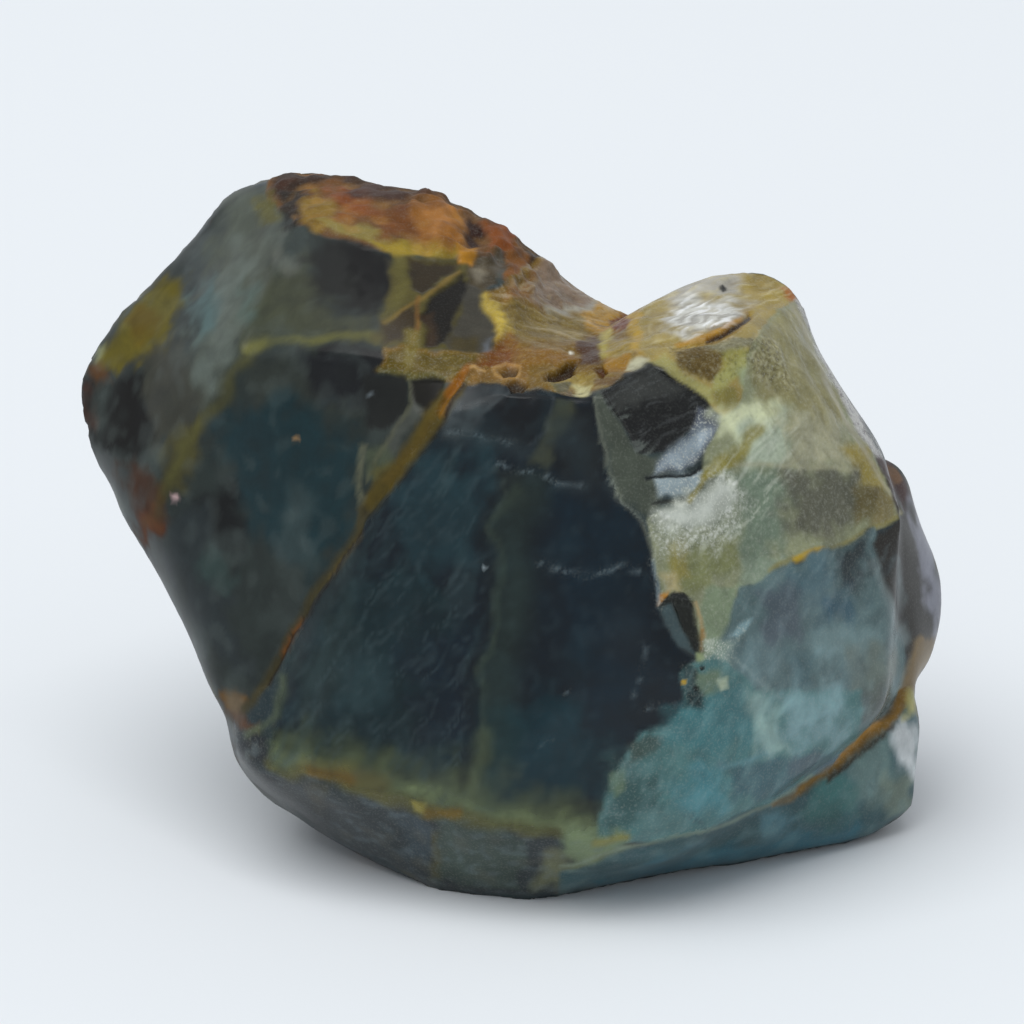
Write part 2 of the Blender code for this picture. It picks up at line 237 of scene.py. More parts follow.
stone = bpy.data.objects.new("rough_fluorite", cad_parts["fluorite"].data.copy())
scene.collection.objects.link(stone)
stone.data.materials.clear()
stone.data.transform(Matrix.Scale(1 / MM, 4))
welded = bmesh.new()
welded.from_mesh(stone.data)
bmesh.ops.remove_doubles(welded, verts=welded.verts, dist=WELD)
welded.to_mesh(stone.data)
welded.free()
regrid = stone.modifiers.new("regrid", "REMESH")
regrid.mode = "VOXEL"
regrid.voxel_size = GRAIN
regrid.adaptivity = 0
apply_modifiers(stone)
skin = Skin(stone.data)
skin.even_out(EVENING_ROUNDS, SPLIT_ANGLE)
skin.write()


def halve(chosen):
    """Halves the squares of the skin at its chosen points."""
    finer = bmesh.new()
    finer.from_mesh(stone.data)
    edges = [edge for edge in finer.edges if max(chosen[vert.index] for vert in edge.verts)]
    bmesh.ops.subdivide_edges(finer, edges=edges, cuts=1, use_grid_fill=True)
    finer.to_mesh(stone.data)
    finer.free()
    halved = Skin(stone.data)
    halved.even_out(HALVING_ROUNDS, SPLIT_ANGLE)
    halved.write()
    return halved


def gap_to(route, across, below, closed=False):
    """Distance of each shown point from a route, with + on the right of it, walking from its first point."""
    nearest = np.full(len(across), np.inf)
    side = np.ones(len(across))
    ends = route[1:] + (route[:1] if closed else [])
    for (x0, y0), (x1, y1) in zip(route, ends):
        run_x, run_y = x1 - x0, y1 - y0
        along = np.clip(((across - x0) * run_x + (below - y0) * run_y) / (run_x**2 + run_y**2), 0, 1)
        dx, dy = across - x0 - along * run_x, below - y0 - along * run_y
        gap = np.hypot(dx, dy)
        closer = gap < nearest
        nearest[closer] = gap[closer]
        side[closer] = np.where(run_x * dy[closer] - run_y * dx[closer] > 0, 1, -1)
    return nearest * side


def within(outline, across, below):
    """Distance inside a closed outline, negative outside it."""
    inside = np.zeros(len(across), bool)
    for (x0, y0), (x1, y1) in zip(outline, outline[1:] + outline[:1]):
        if y0 != y1:
            crosses = (y0 > below) != (y1 > below)
            inside ^= crosses & (across < x0 + (below - y0) * (x1 - x0) / (y1 - y0))
    gap = np.abs(gap_to(outline, across, below, closed=True))
    return np.where(inside, gap, -gap)


VIEWER = np.array((0, -COSINE, SINE))
SHOWN = 0.12  # cosine to the viewer above which skin shows well enough to be worked
ROUGH_SHOWN = 0.1
ROUGH_PART = [(262, 160), (400, 168), (560, 245), (640, 288), (760, 262), (825, 300), (890, 440), (918, 520),
    (790, 590), (725, 720), (672, 712), (640, 560), (592, 410), (455, 420), (372, 385), (300, 240)]
skin = halve(skin.normals() @ VIEWER > SHOWN)
right, down, toward = front_view(skin.points)
skin = halve((skin.normals() @ VIEWER > ROUGH_SHOWN) & (within(ROUGH_PART, right, down) > 0))

# Where each point of the skin shows, how squarely it faces the viewer, and smooth noise at several spans.
points = skin.points
normals = skin.normals()
facing = normals @ VIEWER
right, down, toward = front_view(points)
front = smooth_step(0.02, 0.22, facing)


def speckle(span, seed, weight=None):
    """Smooth noise from -1 to 1 where the weight isn't 0, with lumps about one span (mm) across."""
    shift = Vector((17.3, -9.1, 5.7)) * seed
    values = np.zeros(len(points))
    for index in range(len(points)) if weight is None else np.nonzero(weight)[0]:
        values[index] = noise.noise(Vector(points[index]) / span + shift)
    return values


clouds = speckle(5.0, 1)
billows = speckle(2.6, 2)
mottle = speckle(1.1, 3)
fleck = speckle(0.5, 4)
stray_right = speckle(1.4, 5) + 0.2 * speckle(0.45, 6)
stray_down = speckle(1.4, 7) + 0.2 * speckle(0.45, 8)
grit = mottle + 0.8 * fleck


def near_to(outline, reach):
    """Which points show within this reach (steps) of an outline."""
    xs, ys = [corner[0] for corner in outline], [corner[1] for corner in outline]
    wide = (right > min(xs) - reach) & (right < max(xs) + reach)
    return wide & (down > min(ys) - reach) & (down < max(ys) + reach)


def area(outline, soft=4.0, stray=4.0, ragged=0.35):
    """1 inside an outline on the front, 0 outside; its edge is this soft, ragged and straying (steps)."""
    near = near_to(outline, soft + stray)
    weight = np.zeros(len(right))
    inside = within(outline, (right + stray * stray_right)[near], (down + stray * stray_down)[near])
    inside += ragged * soft * grit[near]
    weight[near] = smooth_step(-soft / 2, soft / 2, inside)
    return weight * front


def line(route, width, soft=2.0, stray=5.0):
    """1 on a line of this width (steps) on the front, 0 beside it."""
    near = near_to(route, width + soft + 2 * stray)
    weight = np.zeros(len(right))
    gap = np.abs(gap_to(route, (right + stray * stray_right)[near], (down + stray * stray_down)[near]))
    weight[near] = smooth_step(width / 2 + soft / 2, width / 2 - soft / 2, gap)
    return weight * front


def from_front(right, down, toward):
    """Points given as they show, back in the stone's own upright frame."""
    scale = (1 - toward / SIGHT_DISTANCE) / STEPS
    across, up = (right - MIDDLE) * scale, (MIDDLE - down) * scale
    return SIGHT_POINT + np.stack([across, up * SINE - toward * COSINE, up * COSINE + toward * SINE], axis=1)


lift = np.zeros(len(points))  # how far each point is raised along its normal in the end, in mm


def raise_skin(weight, height):
    lift[:] += weight * height


def level(corners, wall=3.0):
    """Splits off a flat facet. Its corners stand the given lift, in mm, nearer than the skin there."""
    outline = [corner[:2] for corner in corners]
    near = np.where(facing > SHOWN)[0]
    depths = []
    for x, y, rise in corners:
        nearest = near[np.argmin(np.hypot(right[near] - x, down[near] - y))]
        depths.append(toward[nearest] + rise)
    rows = np.array([(x, y, 1) for x, y in outline])
    plane = np.linalg.lstsq(rows, np.array(depths), rcond=None)[0]
    weight = front * smooth_step(0, wall, within(outline, right, down))
    toward[:] += weight * (plane[0] * right + plane[1] * down + plane[2] - toward)


def mend(outline, ring=12.0):
    """Fills what lies inside an outline up to a gently curved skin through the ring of skin around it."""
    inside = within(outline, right, down)
    around = (inside < 0) & (inside > -ring) & (facing > SHOWN)
    x, y = (right - MIDDLE) / 100, (down - MIDDLE) / 100
    rows = np.stack([np.ones(len(x)), x, y, x * x, x * y, y * y], axis=1)
    curve = np.linalg.lstsq(rows[around], toward[around], rcond=None)[0]
    toward[:] += front * smooth_step(-ring, 0, inside) * (rows @ curve - toward)


def streaks(weight, angle, wide, long, seed):
    """Noise drawn out along an angle (degrees, 0 is to the right, 90 down), this wide and long (steps)."""
    way = math.radians(angle)
    along = (right * math.cos(way) + down * math.sin(way)) / long
    across = (down * math.cos(way) - right * math.sin(way) + 6 * stray_down) / wide
    values = np.zeros(len(right))
    for index in np.nonzero(weight)[0]:
        values[index] = noise.noise(Vector((along[index], across[index], 3.7 * seed)))
    return values


tint = np.tile(colour("#24343a"), (len(points), 1))
clear = np.full(len(points), 0.35)  # share of the light that passes in
rough = np.full(len(points), 0.36)
sparkle = np.full(len(points), 0.05)  # share of painted glint flecks, and how grainy the skin is


def lay(weight, code=None, see=None, matt=None, glint=None):
    """Lays a colour, a share that is see-through, a roughness and a share of painted glints and grain over
    the skin.
    """
    if code:
        tint[:] += (colour(code) - tint) * weight[:, None]
    for values, value in ((clear, see), (rough, matt), (sparkle, glint)):
        if value is not None:
            values += (value - values) * weight


def lay_features(features, stray=3, see=None, matt=None, glint=None):
    """Lays a group of named features: each has an outline, a colour, how soft its edge is and its share."""
    for outline, code, soft, share in features.values():
        lay(area(outline, soft, stray + soft / 2) * share, code, see, matt, glint)


# The stone's own colour all round: deep teal in the clear parts, with grey-green haze, olive where thin iron
# stain lies on it, brown in its finest cracks and rust in a few hollows. Its back is weathered like its rind.
back = 1 - front
lay(smooth_step(-0.1, 0.5, clouds), "#3a4a4b")
lay(smooth_step(0.1, 0.5, billows) * 0.6, "#4a4f40")
lay(smooth_step(0.15, 0.6, speckle(3.7, 9) + 0.3 * fleck) * 0.6, "#5c5434", see=0.1, matt=0.5)
lay(smooth_step(0.42, 0.7, speckle(2.9, 10) + 0.35 * fleck) * 0.8, "#4e3018", see=0.0, matt=0.6)
# The back's upward faces are laid lighter grey: a painted sheen of the lamp above.
lay(smooth_step(0.2, 0.8, normals[:, 2] + 0.4 * mottle) * back * 0.6, "#77766a", see=0.1)
lay(smooth_step(0.1, 0.5, mottle) * back * 0.3, "#6f7f7c")
lay(smooth_step(0.1, 0.5, -mottle) * back * 0.4, "#16211f")
lay(smooth_step(0.05, 0.4, fleck) * back * 0.25, "#8a8c78")
brown_cracks = speckle(4.2, 11) + 0.12 * mottle
lay(smooth_step(0.05, 0.0, np.abs(brown_cracks)) * back * 0.7, "#5e4a26", see=0.0, matt=0.6)
lay(back * 0.8, matt=0.5, glint=0.1)
hidden = smooth_step(-0.02, -0.35, facing)  # clear of the outline, which stays as the splits left it
raise_skin(hidden * billows, 0.25)
raise_skin(hidden * mottle, 0.16)
raise_skin(hidden * fleck, 0.05)
raise_skin(smooth_step(0.05, 0.0, np.abs(brown_cracks)) * hidden, -0.15)

# The left wing: the stone runs back here to a blunt end. Clear teal under a grey haze and an olive film, with
# brown iron stain at its end, and one clear, dark window under the rind.
mend([(250, 346), (300, 222), (400, 252), (472, 256), (502, 300), (494, 360), (424, 362), (404, 352),
    (340, 352)])
WING = {
    "whole wing": ([(78, 430), (92, 345), (156, 278), (240, 180), (330, 215), (400, 250), (400, 345),
        (465, 372), (440, 400), (360, 540), (235, 735), (150, 560)], "#262f2c", 8, 1.0),
    "slate rim": ([(176, 262), (206, 228), (240, 196), (262, 180), (252, 226), (214, 290), (182, 300)],
        "#434b4a", 18, 0.95),
    "grey haze": ([(224, 206), (262, 186), (292, 215), (280, 262), (262, 300), (250, 336), (226, 376),
        (196, 412), (172, 404), (190, 352), (204, 300), (210, 256)], "#50574b", 26, 0.95),
    "blue-teal haze": ([(190, 300), (208, 286), (222, 290), (216, 330), (196, 334)], "#4d6868", 18, 0.85),
    "teal haze": ([(238, 284), (264, 280), (266, 318), (240, 326)], "#50665f", 18, 0.8),
    "dusky band": ([(140, 352), (176, 336), (194, 360), (196, 400), (190, 436), (150, 446), (142, 400)],
        "#353529", 20, 0.9),
    "pale nick": ([(92, 350), (104, 342), (111, 356), (98, 366)], "#8d9060", 9, 0.8),
    "olive slope": ([(254, 272), (308, 256), (322, 300), (360, 320), (376, 334), (246, 344)], "#434732", 26,
        0.9),
    "pale dusting": ([(274, 256), (290, 250), (300, 262), (284, 274)], "#63655a", 12, 0.7),
    "facet under the ledge": ([(250, 356), (300, 350), (384, 347), (372, 380), (360, 412), (252, 410)],
        "#2e342e", 12, 0.95),
    "darker corner": ([(296, 352), (386, 347), (374, 402), (320, 404)], "#121418", 20, 0.95),
    "teal depth": ([(222, 412), (300, 402), (352, 430), (354, 520), (306, 590), (256, 530), (222, 460)],
        "#0e2d33", 34, 0.95),
    "black patch": ([(190, 492), (240, 486), (256, 530), (230, 556), (200, 548)], "#030607", 28, 1.0),
    "mottled slate": ([(150, 520), (200, 500), (240, 640), (262, 690), (205, 650)], "#222b2e", 26, 0.8),
    "pale mottle": ([(196, 560), (214, 552), (230, 570), (220, 590), (202, 584)], "#324743", 16, 0.7),
}
lay_features(WING, stray=4, see=0.3, glint=0.0)
WING_STAINS = {
    "olive film": ([(102, 344), (128, 312), (156, 282), (188, 276), (182, 306), (160, 342), (142, 362),
        (108, 368)], "#5a510c", 18, 0.95),
    "olive film's core": ([(126, 322), (144, 304), (158, 306), (152, 338), (134, 348)], "#544203", 14, 1.0),
    "brown-black end": ([(82, 386), (110, 376), (146, 378), (150, 424), (130, 464), (104, 450), (82, 438)],
        "#070605", 18, 1.0),
    "red edge": ([(78, 388), (90, 384), (92, 430), (80, 434)], "#3c2012", 12, 0.7),
    "rust nick": ([(88, 368), (108, 364), (114, 380), (94, 390)], "#54330e", 9, 0.85),
    "rust on the rim": ([(124, 476), (146, 470), (160, 486), (166, 510), (156, 540), (140, 536)], "#381c05",
        24, 1.0),
    "orange on the rim": ([(138, 512), (152, 506), (160, 524), (148, 538)], "#5a2c02", 18, 1.0),
    "olive diagonal": ([(164, 450), (196, 416), (208, 438), (180, 496), (158, 508), (156, 480)], "#423d19",
        14, 0.8),
    "rust foot": ([(220, 698), (238, 692), (248, 706), (234, 722)], "#6a4a1c", 9, 0.9),
    "pink foot": ([(230, 716), (244, 714), (246, 730), (233, 732)], "#5c3c28", 6, 0.8),
}
lay_features(WING_STAINS, stray=4, see=0.04, matt=0.65, glint=0.0)
wing = area(WING["whole wing"][0], 8)
lay(line([(244, 254), (230, 290), (222, 340), (206, 382)], 20, 20, 16) * 0.7, "#68726a")
lay(line([(253, 350), (232, 382), (213, 408), (190, 442), (168, 484), (150, 520)], 13, 12, 9) * 0.75,
    "#4c4a22")
lay(line([(248, 350), (276, 339), (320, 335), (376, 337)], 9, 7, 7) * 0.85, "#66652e")
lay(line([(244, 348), (266, 340)], 9, 9, 4) * 0.4, "#838248")
lay(line([(376, 337), (388, 332)], 10, 7, 4) * 0.8, "#5a5226")
lay(line([(322, 349), (350, 350), (392, 357)], 9, 6, 3) * 0.95, "#111214")
lay(wing * smooth_step(0.1, 0.5, billows) * 0.22, "#5d6a66")
lay(wing * smooth_step(0.1, 0.5, mottle) * 0.12, "#6a7672")
lay(wing * smooth_step(0.1, 0.5, -mottle) * 0.2, "#1c2220")
# These stains lie over the haze as well.
for name in ("olive film", "olive film's core", "rust on the rim", "orange on the rim"):
    outline, code, soft = WING_STAINS[name][:3]
    lay(area(outline, soft, 4 + soft / 2) * 0.55, code)
WING_WINDOW = [(316, 236), (345, 234), (367, 246), (394, 258), (400, 273), (392, 291), (382, 306),
    (366, 316), (337, 309), (314, 290), (304, 262)]
lay(area(WING_WINDOW, 26, 5) * 0.95, "#111210", see=0.1)
lay(area([(344, 248), (392, 257), (399, 274), (384, 298), (356, 292)], 22, 5), "#020203", see=0.05)
lay(area([(385, 258), (400, 262), (402, 276), (390, 290)], 7, 4) * 0.5, "#3a382c")

# The rind: the weathered top edge, a crust of iron rust a fraction of a millimetre thick.
RIND = {
    "whole crust": ([(262, 164), (330, 162), (400, 172), (470, 196), (545, 240), (562, 275), (530, 294),
        (505, 286), (505, 258), (462, 258), (424, 256), (367, 248), (321, 232), (300, 226), (268, 200)],
        "#60401c", 4, 1.0),
    "brown top": ([(268, 168), (322, 168), (328, 186), (276, 194)], "#2c1809", 12, 0.95),
    "olive streak": ([(258, 198), (274, 192), (278, 222), (262, 228)], "#565226", 12, 0.9),
    "black streak": ([(284, 188), (306, 186), (304, 226), (282, 228)], "#0f0a06", 12, 0.9),
    "yellow lump": ([(301, 206), (316, 194), (332, 200), (334, 224), (318, 232), (304, 226)], "#7e6424", 9,
        0.95),
    "orange hollow": ([(328, 194), (352, 192), (370, 204), (380, 218), (336, 216)], "#763c0e", 12, 0.9),
    "purple-brown": ([(344, 184), (400, 186), (420, 198), (396, 206), (350, 204)], "#3c2b27", 12, 0.9),
    "yellow lip": ([(316, 218), (346, 220), (376, 230), (396, 242), (380, 248), (346, 238)], "#81743a", 7,
        0.9),
    "brown middle": ([(374, 212), (424, 212), (430, 238), (380, 240)], "#6a3c10", 12, 0.9),
    "bright lip": ([(369, 241), (400, 244), (428, 240), (462, 248), (458, 257), (395, 257)], "#8a761e", 6,
        0.95),
    "orange swell": ([(408, 208), (440, 202), (462, 212), (466, 240), (450, 250), (420, 240)], "#86561b", 14,
        0.95),
    "orange light": ([(420, 214), (448, 210), (456, 230), (432, 240)], "#a06c34", 12, 0.8),
    "dark lump": ([(465, 226), (476, 219), (486, 230), (482, 244), (469, 246)], "#240a03", 7, 0.95),
    "red swell": ([(484, 224), (506, 230), (514, 246), (508, 258), (486, 254)], "#7a4012", 8, 0.9),
    "orange flank": ([(505, 252), (530, 256), (540, 280), (508, 288)], "#74460f", 8, 0.9),
    "dark nick": ([(524, 246), (540, 252), (548, 268), (532, 266)], "#261a0e", 6, 0.9),
}
lay_features(RIND, see=0.02, matt=0.5, glint=0.06)
crust = area(RIND["whole crust"][0], 6)
lay(crust * smooth_step(0.15, 0.6, mottle) * 0.35, "#4a2410")
lay(crust * smooth_step(0.15, 0.6, -mottle) * 0.3, "#a47a3c")
lay(line([(322, 172), (372, 177), (430, 187), (474, 203), (520, 230), (556, 260)], 16, 12, 5) * 0.9,
    "#241a14")
lay(line([(352, 209), (380, 213)], 9, 9, 5) * 0.5, "#7c4418")
lay(line([(490, 214), (512, 236)], 10, 8, 5) * 0.7, "#7c3a12")
lay(line([(306, 172), (322, 174)], 6, 5, 3) * 0.7, "#774a1c")
raise_skin(crust, 0.08)
raise_skin(crust * mottle, 0.2)
raise_skin(crust * fleck, 0.1)
raise_skin(area([(408, 208), (440, 202), (462, 212), (464, 240), (440, 250), (418, 240)], 30), 0.3)
raise_skin(area([(484, 224), (508, 230), (514, 250), (490, 254)], 20), 0.25)
raise_skin(area([(464, 224), (477, 218), (487, 230), (482, 246), (468, 247)], 10), -0.3)

# The small windows: splinters have left clear, flat spots under the rind, in an olive frame of stained seams.
lay(area([(394, 256), (470, 256), (486, 292), (496, 340), (494, 356), (446, 352), (404, 352), (382, 345),
    (384, 310)], 9), "#50491e", see=0.1, matt=0.3, glint=0.02)
SMALL_WINDOWS = {
    "brown flank": ([(384, 342), (382, 322), (406, 306), (420, 300), (414, 342)], "#2e2006", 10, 0.95),
    "upper window": ([(409, 259), (459, 260), (457, 272), (432, 287), (423, 292), (411, 286)], "#2c2110", 9,
        0.95),
    "leaning window": ([(463, 274), (468, 289), (463, 306), (447, 331), (438, 346), (423, 344), (423, 320),
        (432, 294)], "#0b0604", 8, 0.97),
    "leaning window's foot": ([(422, 318), (434, 314), (436, 345), (424, 344)], "#382610", 8, 0.8),
    "grey window": ([(467, 277), (484, 291), (493, 322), (496, 347), (486, 355), (447, 350), (443, 340),
        (464, 306)], "#403d35", 7, 0.95),
    "olive foot": ([(448, 338), (476, 336), (478, 354), (450, 352)], "#443a17", 10, 0.8),
    "brown-grey window": ([(467, 258), (505, 257), (503, 274), (484, 291), (469, 279)], "#483d29", 9, 0.95),
}
for outline, code, soft, share in SMALL_WINDOWS.values():
    lay(area(outline, soft, 5) * share, code, see=0.2, matt=0.28)
for name in ("upper window", "leaning window", "grey window", "brown-grey window"):
    raise_skin(area(SMALL_WINDOWS[name][0], 5, 3), -0.08)
lay(line([(459, 272), (440, 285), (425, 297), (402, 310), (384, 322)], 4, 4, 3) * 0.6, "#7c642c", see=0.0)
lay(line([(419, 297), (418, 324), (410, 344)], 4, 4, 3) * 0.6, "#7a5222", see=0.0)
lay(line([(398, 262), (402, 284), (394, 306), (384, 316)], 12, 12, 4) * 0.55, "#5e5928")
lay(area([(457, 245), (475, 249), (472, 264), (458, 261)], 6, 3) * 0.85, "#a8741c", see=0.0)
lay(area([(470, 266), (482, 264), (488, 274), (478, 281)], 9, 4) * 0.8, "#77705f", see=0.0)
lay(area([(481, 342), (490, 338), (492, 352), (484, 355)], 7, 3) * 0.7, "#6a7078", see=0.0)

# The saddle: splitting steps fan out below the dip of the top edge, under a film of golden iron, down to a
# row of small rusty hollows over the pane.
SADDLE = {
    "whole saddle": ([(484, 290), (505, 282), (545, 252), (580, 276), (615, 300), (640, 298), (656, 345),
        (650, 364), (602, 392), (570, 402), (548, 392), (500, 388), (466, 384), (440, 382), (377, 370),
        (382, 346), (440, 350), (492, 354), (496, 340)], "#6f5411", 4, 1.0),
    "ochre ledge": ([(382, 350), (444, 353), (496, 354), (500, 376), (446, 380), (378, 368)], "#584a0e", 8,
        0.95),
    "pale ochre": ([(402, 334), (416, 330), (414, 366), (400, 366)], "#6e6222", 9, 0.8),
    "yellow hem": ([(377, 366), (410, 371), (446, 377), (444, 383), (405, 378), (378, 372)], "#575229", 4,
        0.9),
    # The lilac flank and the silver streak under it are painted sheen: the lamp mirrored on the saddle's
    # upper steps.
    "lilac flank": ([(528, 266), (548, 260), (612, 300), (608, 312), (560, 310), (532, 298)], "#857262", 10,
        0.9),
    "silver streak": ([(544, 308), (606, 302), (605, 311), (550, 316)], "#9c998c", 6, 0.85),
    "brown flank": ([(503, 284), (530, 280), (532, 296), (506, 300)], "#7e521a", 9, 0.85),
    "olive flank": ([(500, 300), (560, 314), (600, 320), (584, 340), (510, 334)], "#7b6a34", 12, 0.85),
    "yellow edge": ([(484, 291), (498, 298), (510, 330), (506, 342), (496, 340), (490, 318)], "#b9a244", 12,
        0.9),
    "orange corner": ([(494, 346), (508, 334), (522, 348), (520, 366), (470, 366)], "#6f3b03", 14, 0.9),
    "golden band": ([(514, 348), (540, 350), (578, 348), (576, 362), (520, 366)], "#7a540a", 12, 0.9),
    "brown fold": ([(577, 340), (600, 335), (598, 367), (580, 366)], "#3d1c03", 9, 0.95),
    "amber": ([(583, 312), (612, 298), (648, 298), (640, 312), (606, 336), (586, 330)], "#a67c1a", 8, 0.95),
    "pale fold": ([(598, 333), (612, 330), (608, 358), (600, 360)], "#a49846", 6, 0.9),
    "khaki": ([(608, 340), (634, 336), (636, 358), (604, 372)], "#8f792e", 6, 0.9),
    "orange khaki": ([(602, 360), (632, 357), (630, 373), (604, 375)], "#946a16", 6, 0.85),
    "upper khaki": ([(628, 304), (668, 292), (676, 350), (640, 358), (626, 334)], "#a98a2e", 9, 0.95),
    "white ridge": ([(624, 372), (630, 362), (650, 356), (656, 363), (640, 371)], "#bcbb9e", 4, 0.9),
    "hem": ([(548, 378), (612, 377), (612, 390), (552, 391)], "#94803a", 5, 0.9),
    "cream hem": ([(570, 386), (592, 386), (590, 400), (576, 400)], "#c4bf8c", 5, 0.9),
    "green gap": ([(551, 382), (569, 383), (566, 394), (553, 394)], "#44442a", 4, 0.85),
    "brown hem": ([(594, 379), (616, 377), (614, 388), (595, 389)], "#5e4014", 5, 0.85),
    "rim of the hollows": ([(466, 367), (500, 364), (530, 366), (528, 384), (508, 390), (498, 383),
        (468, 381)], "#79581e", 5, 0.9),
}
lay_features(SADDLE, see=0.1, matt=0.3, glint=0.12)
lay(area([(608, 320), (618, 314), (630, 316), (625, 328), (614, 331)], 4, 4), "#5c2600", see=0.0)
fan = area([(490, 296), (530, 270), (612, 300), (606, 330), (580, 350), (508, 346)], 12)
fan_lines = streaks(fan, 14, 3.2, 46, 21)
lay(fan * smooth_step(0.1, 0.5, fan_lines) * 0.4, "#b3a486")
lay(fan * smooth_step(0.1, 0.5, -fan_lines) * 0.35, "#57421c")
raise_skin(fan * fan_lines, 0.05)
saddle = area(SADDLE["whole saddle"][0], 5)
saddle_grit = speckle(0.22, 24, saddle)
lay(saddle * smooth_step(0.2, 0.5, saddle_grit) * 0.1, "#cdb878")
lay(saddle * smooth_step(0.2, 0.5, -saddle_grit) * 0.2, "#4a3414")
lay(area(SADDLE["brown fold"][0], 9, 6) * 0.6, "#43240a")
raise_skin(saddle * saddle_grit, 0.035)
raise_skin(saddle * mottle, 0.14)
raise_skin(saddle * fleck, 0.03)
HOLLOWS = {
    "left hollow": ([(470, 370), (479, 369), (481, 376), (472, 378)], "#80612e", 0.15),
    "middle hollow": ([(499, 370), (508, 366), (518, 368), (516, 375), (503, 376)], "#4a3414", 0.3),
    "hanging hollow": ([(507, 384), (518, 380), (527, 383), (522, 391), (511, 392)], "#2a1c08", 0.3),
    "wedge": ([(543, 373), (560, 366), (577, 361), (575, 374), (560, 379), (545, 379)], "#301c04", 0.45),
    "right hollow": ([(594, 371), (602, 367), (607, 373), (602, 378)], "#472604", 0.3),
}
for outline, code, depth in HOLLOWS.values():
    lay(area(outline, 3, 4), code, see=0.0, matt=0.5)
    raise_skin(area(outline, 4, 4), -depth)
lay(line([(493, 368), (506, 363), (520, 366), (519, 377), (504, 379), (495, 374), (493, 368)], 3, 2.5,
    2) * 0.5, "#b08a50", see=0.0)
lay(line([(466, 370), (474, 366), (484, 371)], 3, 2, 4) * 0.7, "#c09a60", see=0.0)

# The crown: the knob at the upper right. Its top split in thin waves; the lamp's reflection on them is
# painted in silver, and amber iron fills its crack.
CROWN = {
    "whole crown": ([(640, 298), (664, 284), (700, 270), (760, 266), (800, 294), (812, 318), (790, 330),
        (770, 420), (722, 420), (706, 398), (651, 363), (640, 350)], "#94834a", 6, 1.0),
    "golden top": ([(740, 280), (776, 274), (798, 300), (780, 314), (744, 310)], "#98843a", 10, 0.9),
    "orange edge": ([(778, 288), (792, 288), (800, 302), (788, 302)], "#9a560e", 6, 0.9),
    # The lilac top and the silver are painted sheen and reflection of the lamp on the crown's upper slope.
    "lilac top": ([(664, 296), (700, 276), (746, 272), (744, 290), (700, 298), (672, 306)], "#aaa79e", 14,
        0.9),
    "silver": ([(668, 320), (674, 302), (697, 296), (718, 304), (745, 306), (740, 318), (726, 328),
        (703, 335), (684, 338), (678, 331)], "#cdcec8", 20, 0.92),
    "amber above the crack": ([(672, 344), (700, 334), (726, 326), (748, 308), (756, 312), (738, 330),
        (716, 340), (682, 348)], "#8e6e09", 8, 0.9),
    "grey below the crack": ([(700, 346), (752, 334), (756, 344), (730, 354), (704, 352)], "#77765f", 6,
        0.85),
    "brown wedge": ([(670, 352), (700, 347), (724, 354), (716, 380), (696, 376), (680, 364)], "#554420", 8,
        0.9),
    "olive wedge": ([(722, 352), (756, 346), (748, 366), (722, 384)], "#98954f", 8, 0.8),
    "pale hem": ([(650, 362), (664, 356), (690, 374), (712, 388), (722, 404), (706, 400), (680, 380)],
        "#96935c", 5, 0.85),
    "green seam": ([(712, 391), (716, 376), (732, 362), (752, 350), (758, 356), (736, 374), (724, 394)],
        "#97975c", 6, 0.8),
    "brown patch": ([(714, 390), (734, 386), (740, 404), (722, 410)], "#756f3a", 7, 0.85),
    "green-grey": ([(736, 368), (757, 362), (758, 406), (742, 408)], "#929d7c", 9, 0.9),
}
lay_features(CROWN, see=0.08, matt=0.26, glint=0.12)
silver = area(CROWN["silver"][0], 14)
crown_top = area([(640, 300), (664, 286), (700, 272), (760, 268), (796, 296), (750, 320), (704, 338),
    (672, 350), (644, 350)], 8)
ripples = streaks(crown_top, -18, 7.0, 46, 25)
fine_ripples = streaks(crown_top, -24, 2.6, 18, 26)
# Dark lines, white streaks and grey streaks along the ripples break up the silver: painted reflection and
# shade.
lay(silver * smooth_step(-0.05, 0.06, ripples) * smooth_step(0.2, 0.09, ripples) * 0.5, "#6b655d")
lay(silver * smooth_step(0.1, 0.35, fine_ripples) * 0.7, "#f2f4f6")
lay(silver * smooth_step(0.1, 0.35, -fine_ripples) * 0.6, "#857f74")
lay((crown_top - silver).clip(0, 1) * smooth_step(0.1, 0.45, fine_ripples) * 0.4, "#c2b88c")
lay((crown_top - silver).clip(0, 1) * smooth_step(0.1, 0.45, -ripples) * 0.4, "#6e5a22")
raise_skin(crown_top * ripples, 0.14)
raise_skin(crown_top * fine_ripples, 0.06)
CROWN_CRACK = [(672, 348), (700, 342), (716, 338), (736, 328), (751, 314)]
lay(line([(706, 339), (720, 335), (736, 326), (750, 315)], 4, 2.5, 2), "#2a1804", see=0.0)
lay(line([(676, 343), (692, 340), (708, 336), (724, 329), (740, 318)], 4, 3, 2) * 0.5, "#a8760f", see=0.0)
raise_skin(line(CROWN_CRACK, 6, 4, 2), -0.16)
wedge_grit = speckle(0.2, 27, area([(668, 350), (756, 336), (756, 352), (716, 384), (690, 376)], 6))
lay(smooth_step(0.2, 0.42, wedge_grit) * 0.15, "#c9c3a0")
lay(smooth_step(0.2, 0.42, -wedge_grit) * 0.35, "#2e2410")
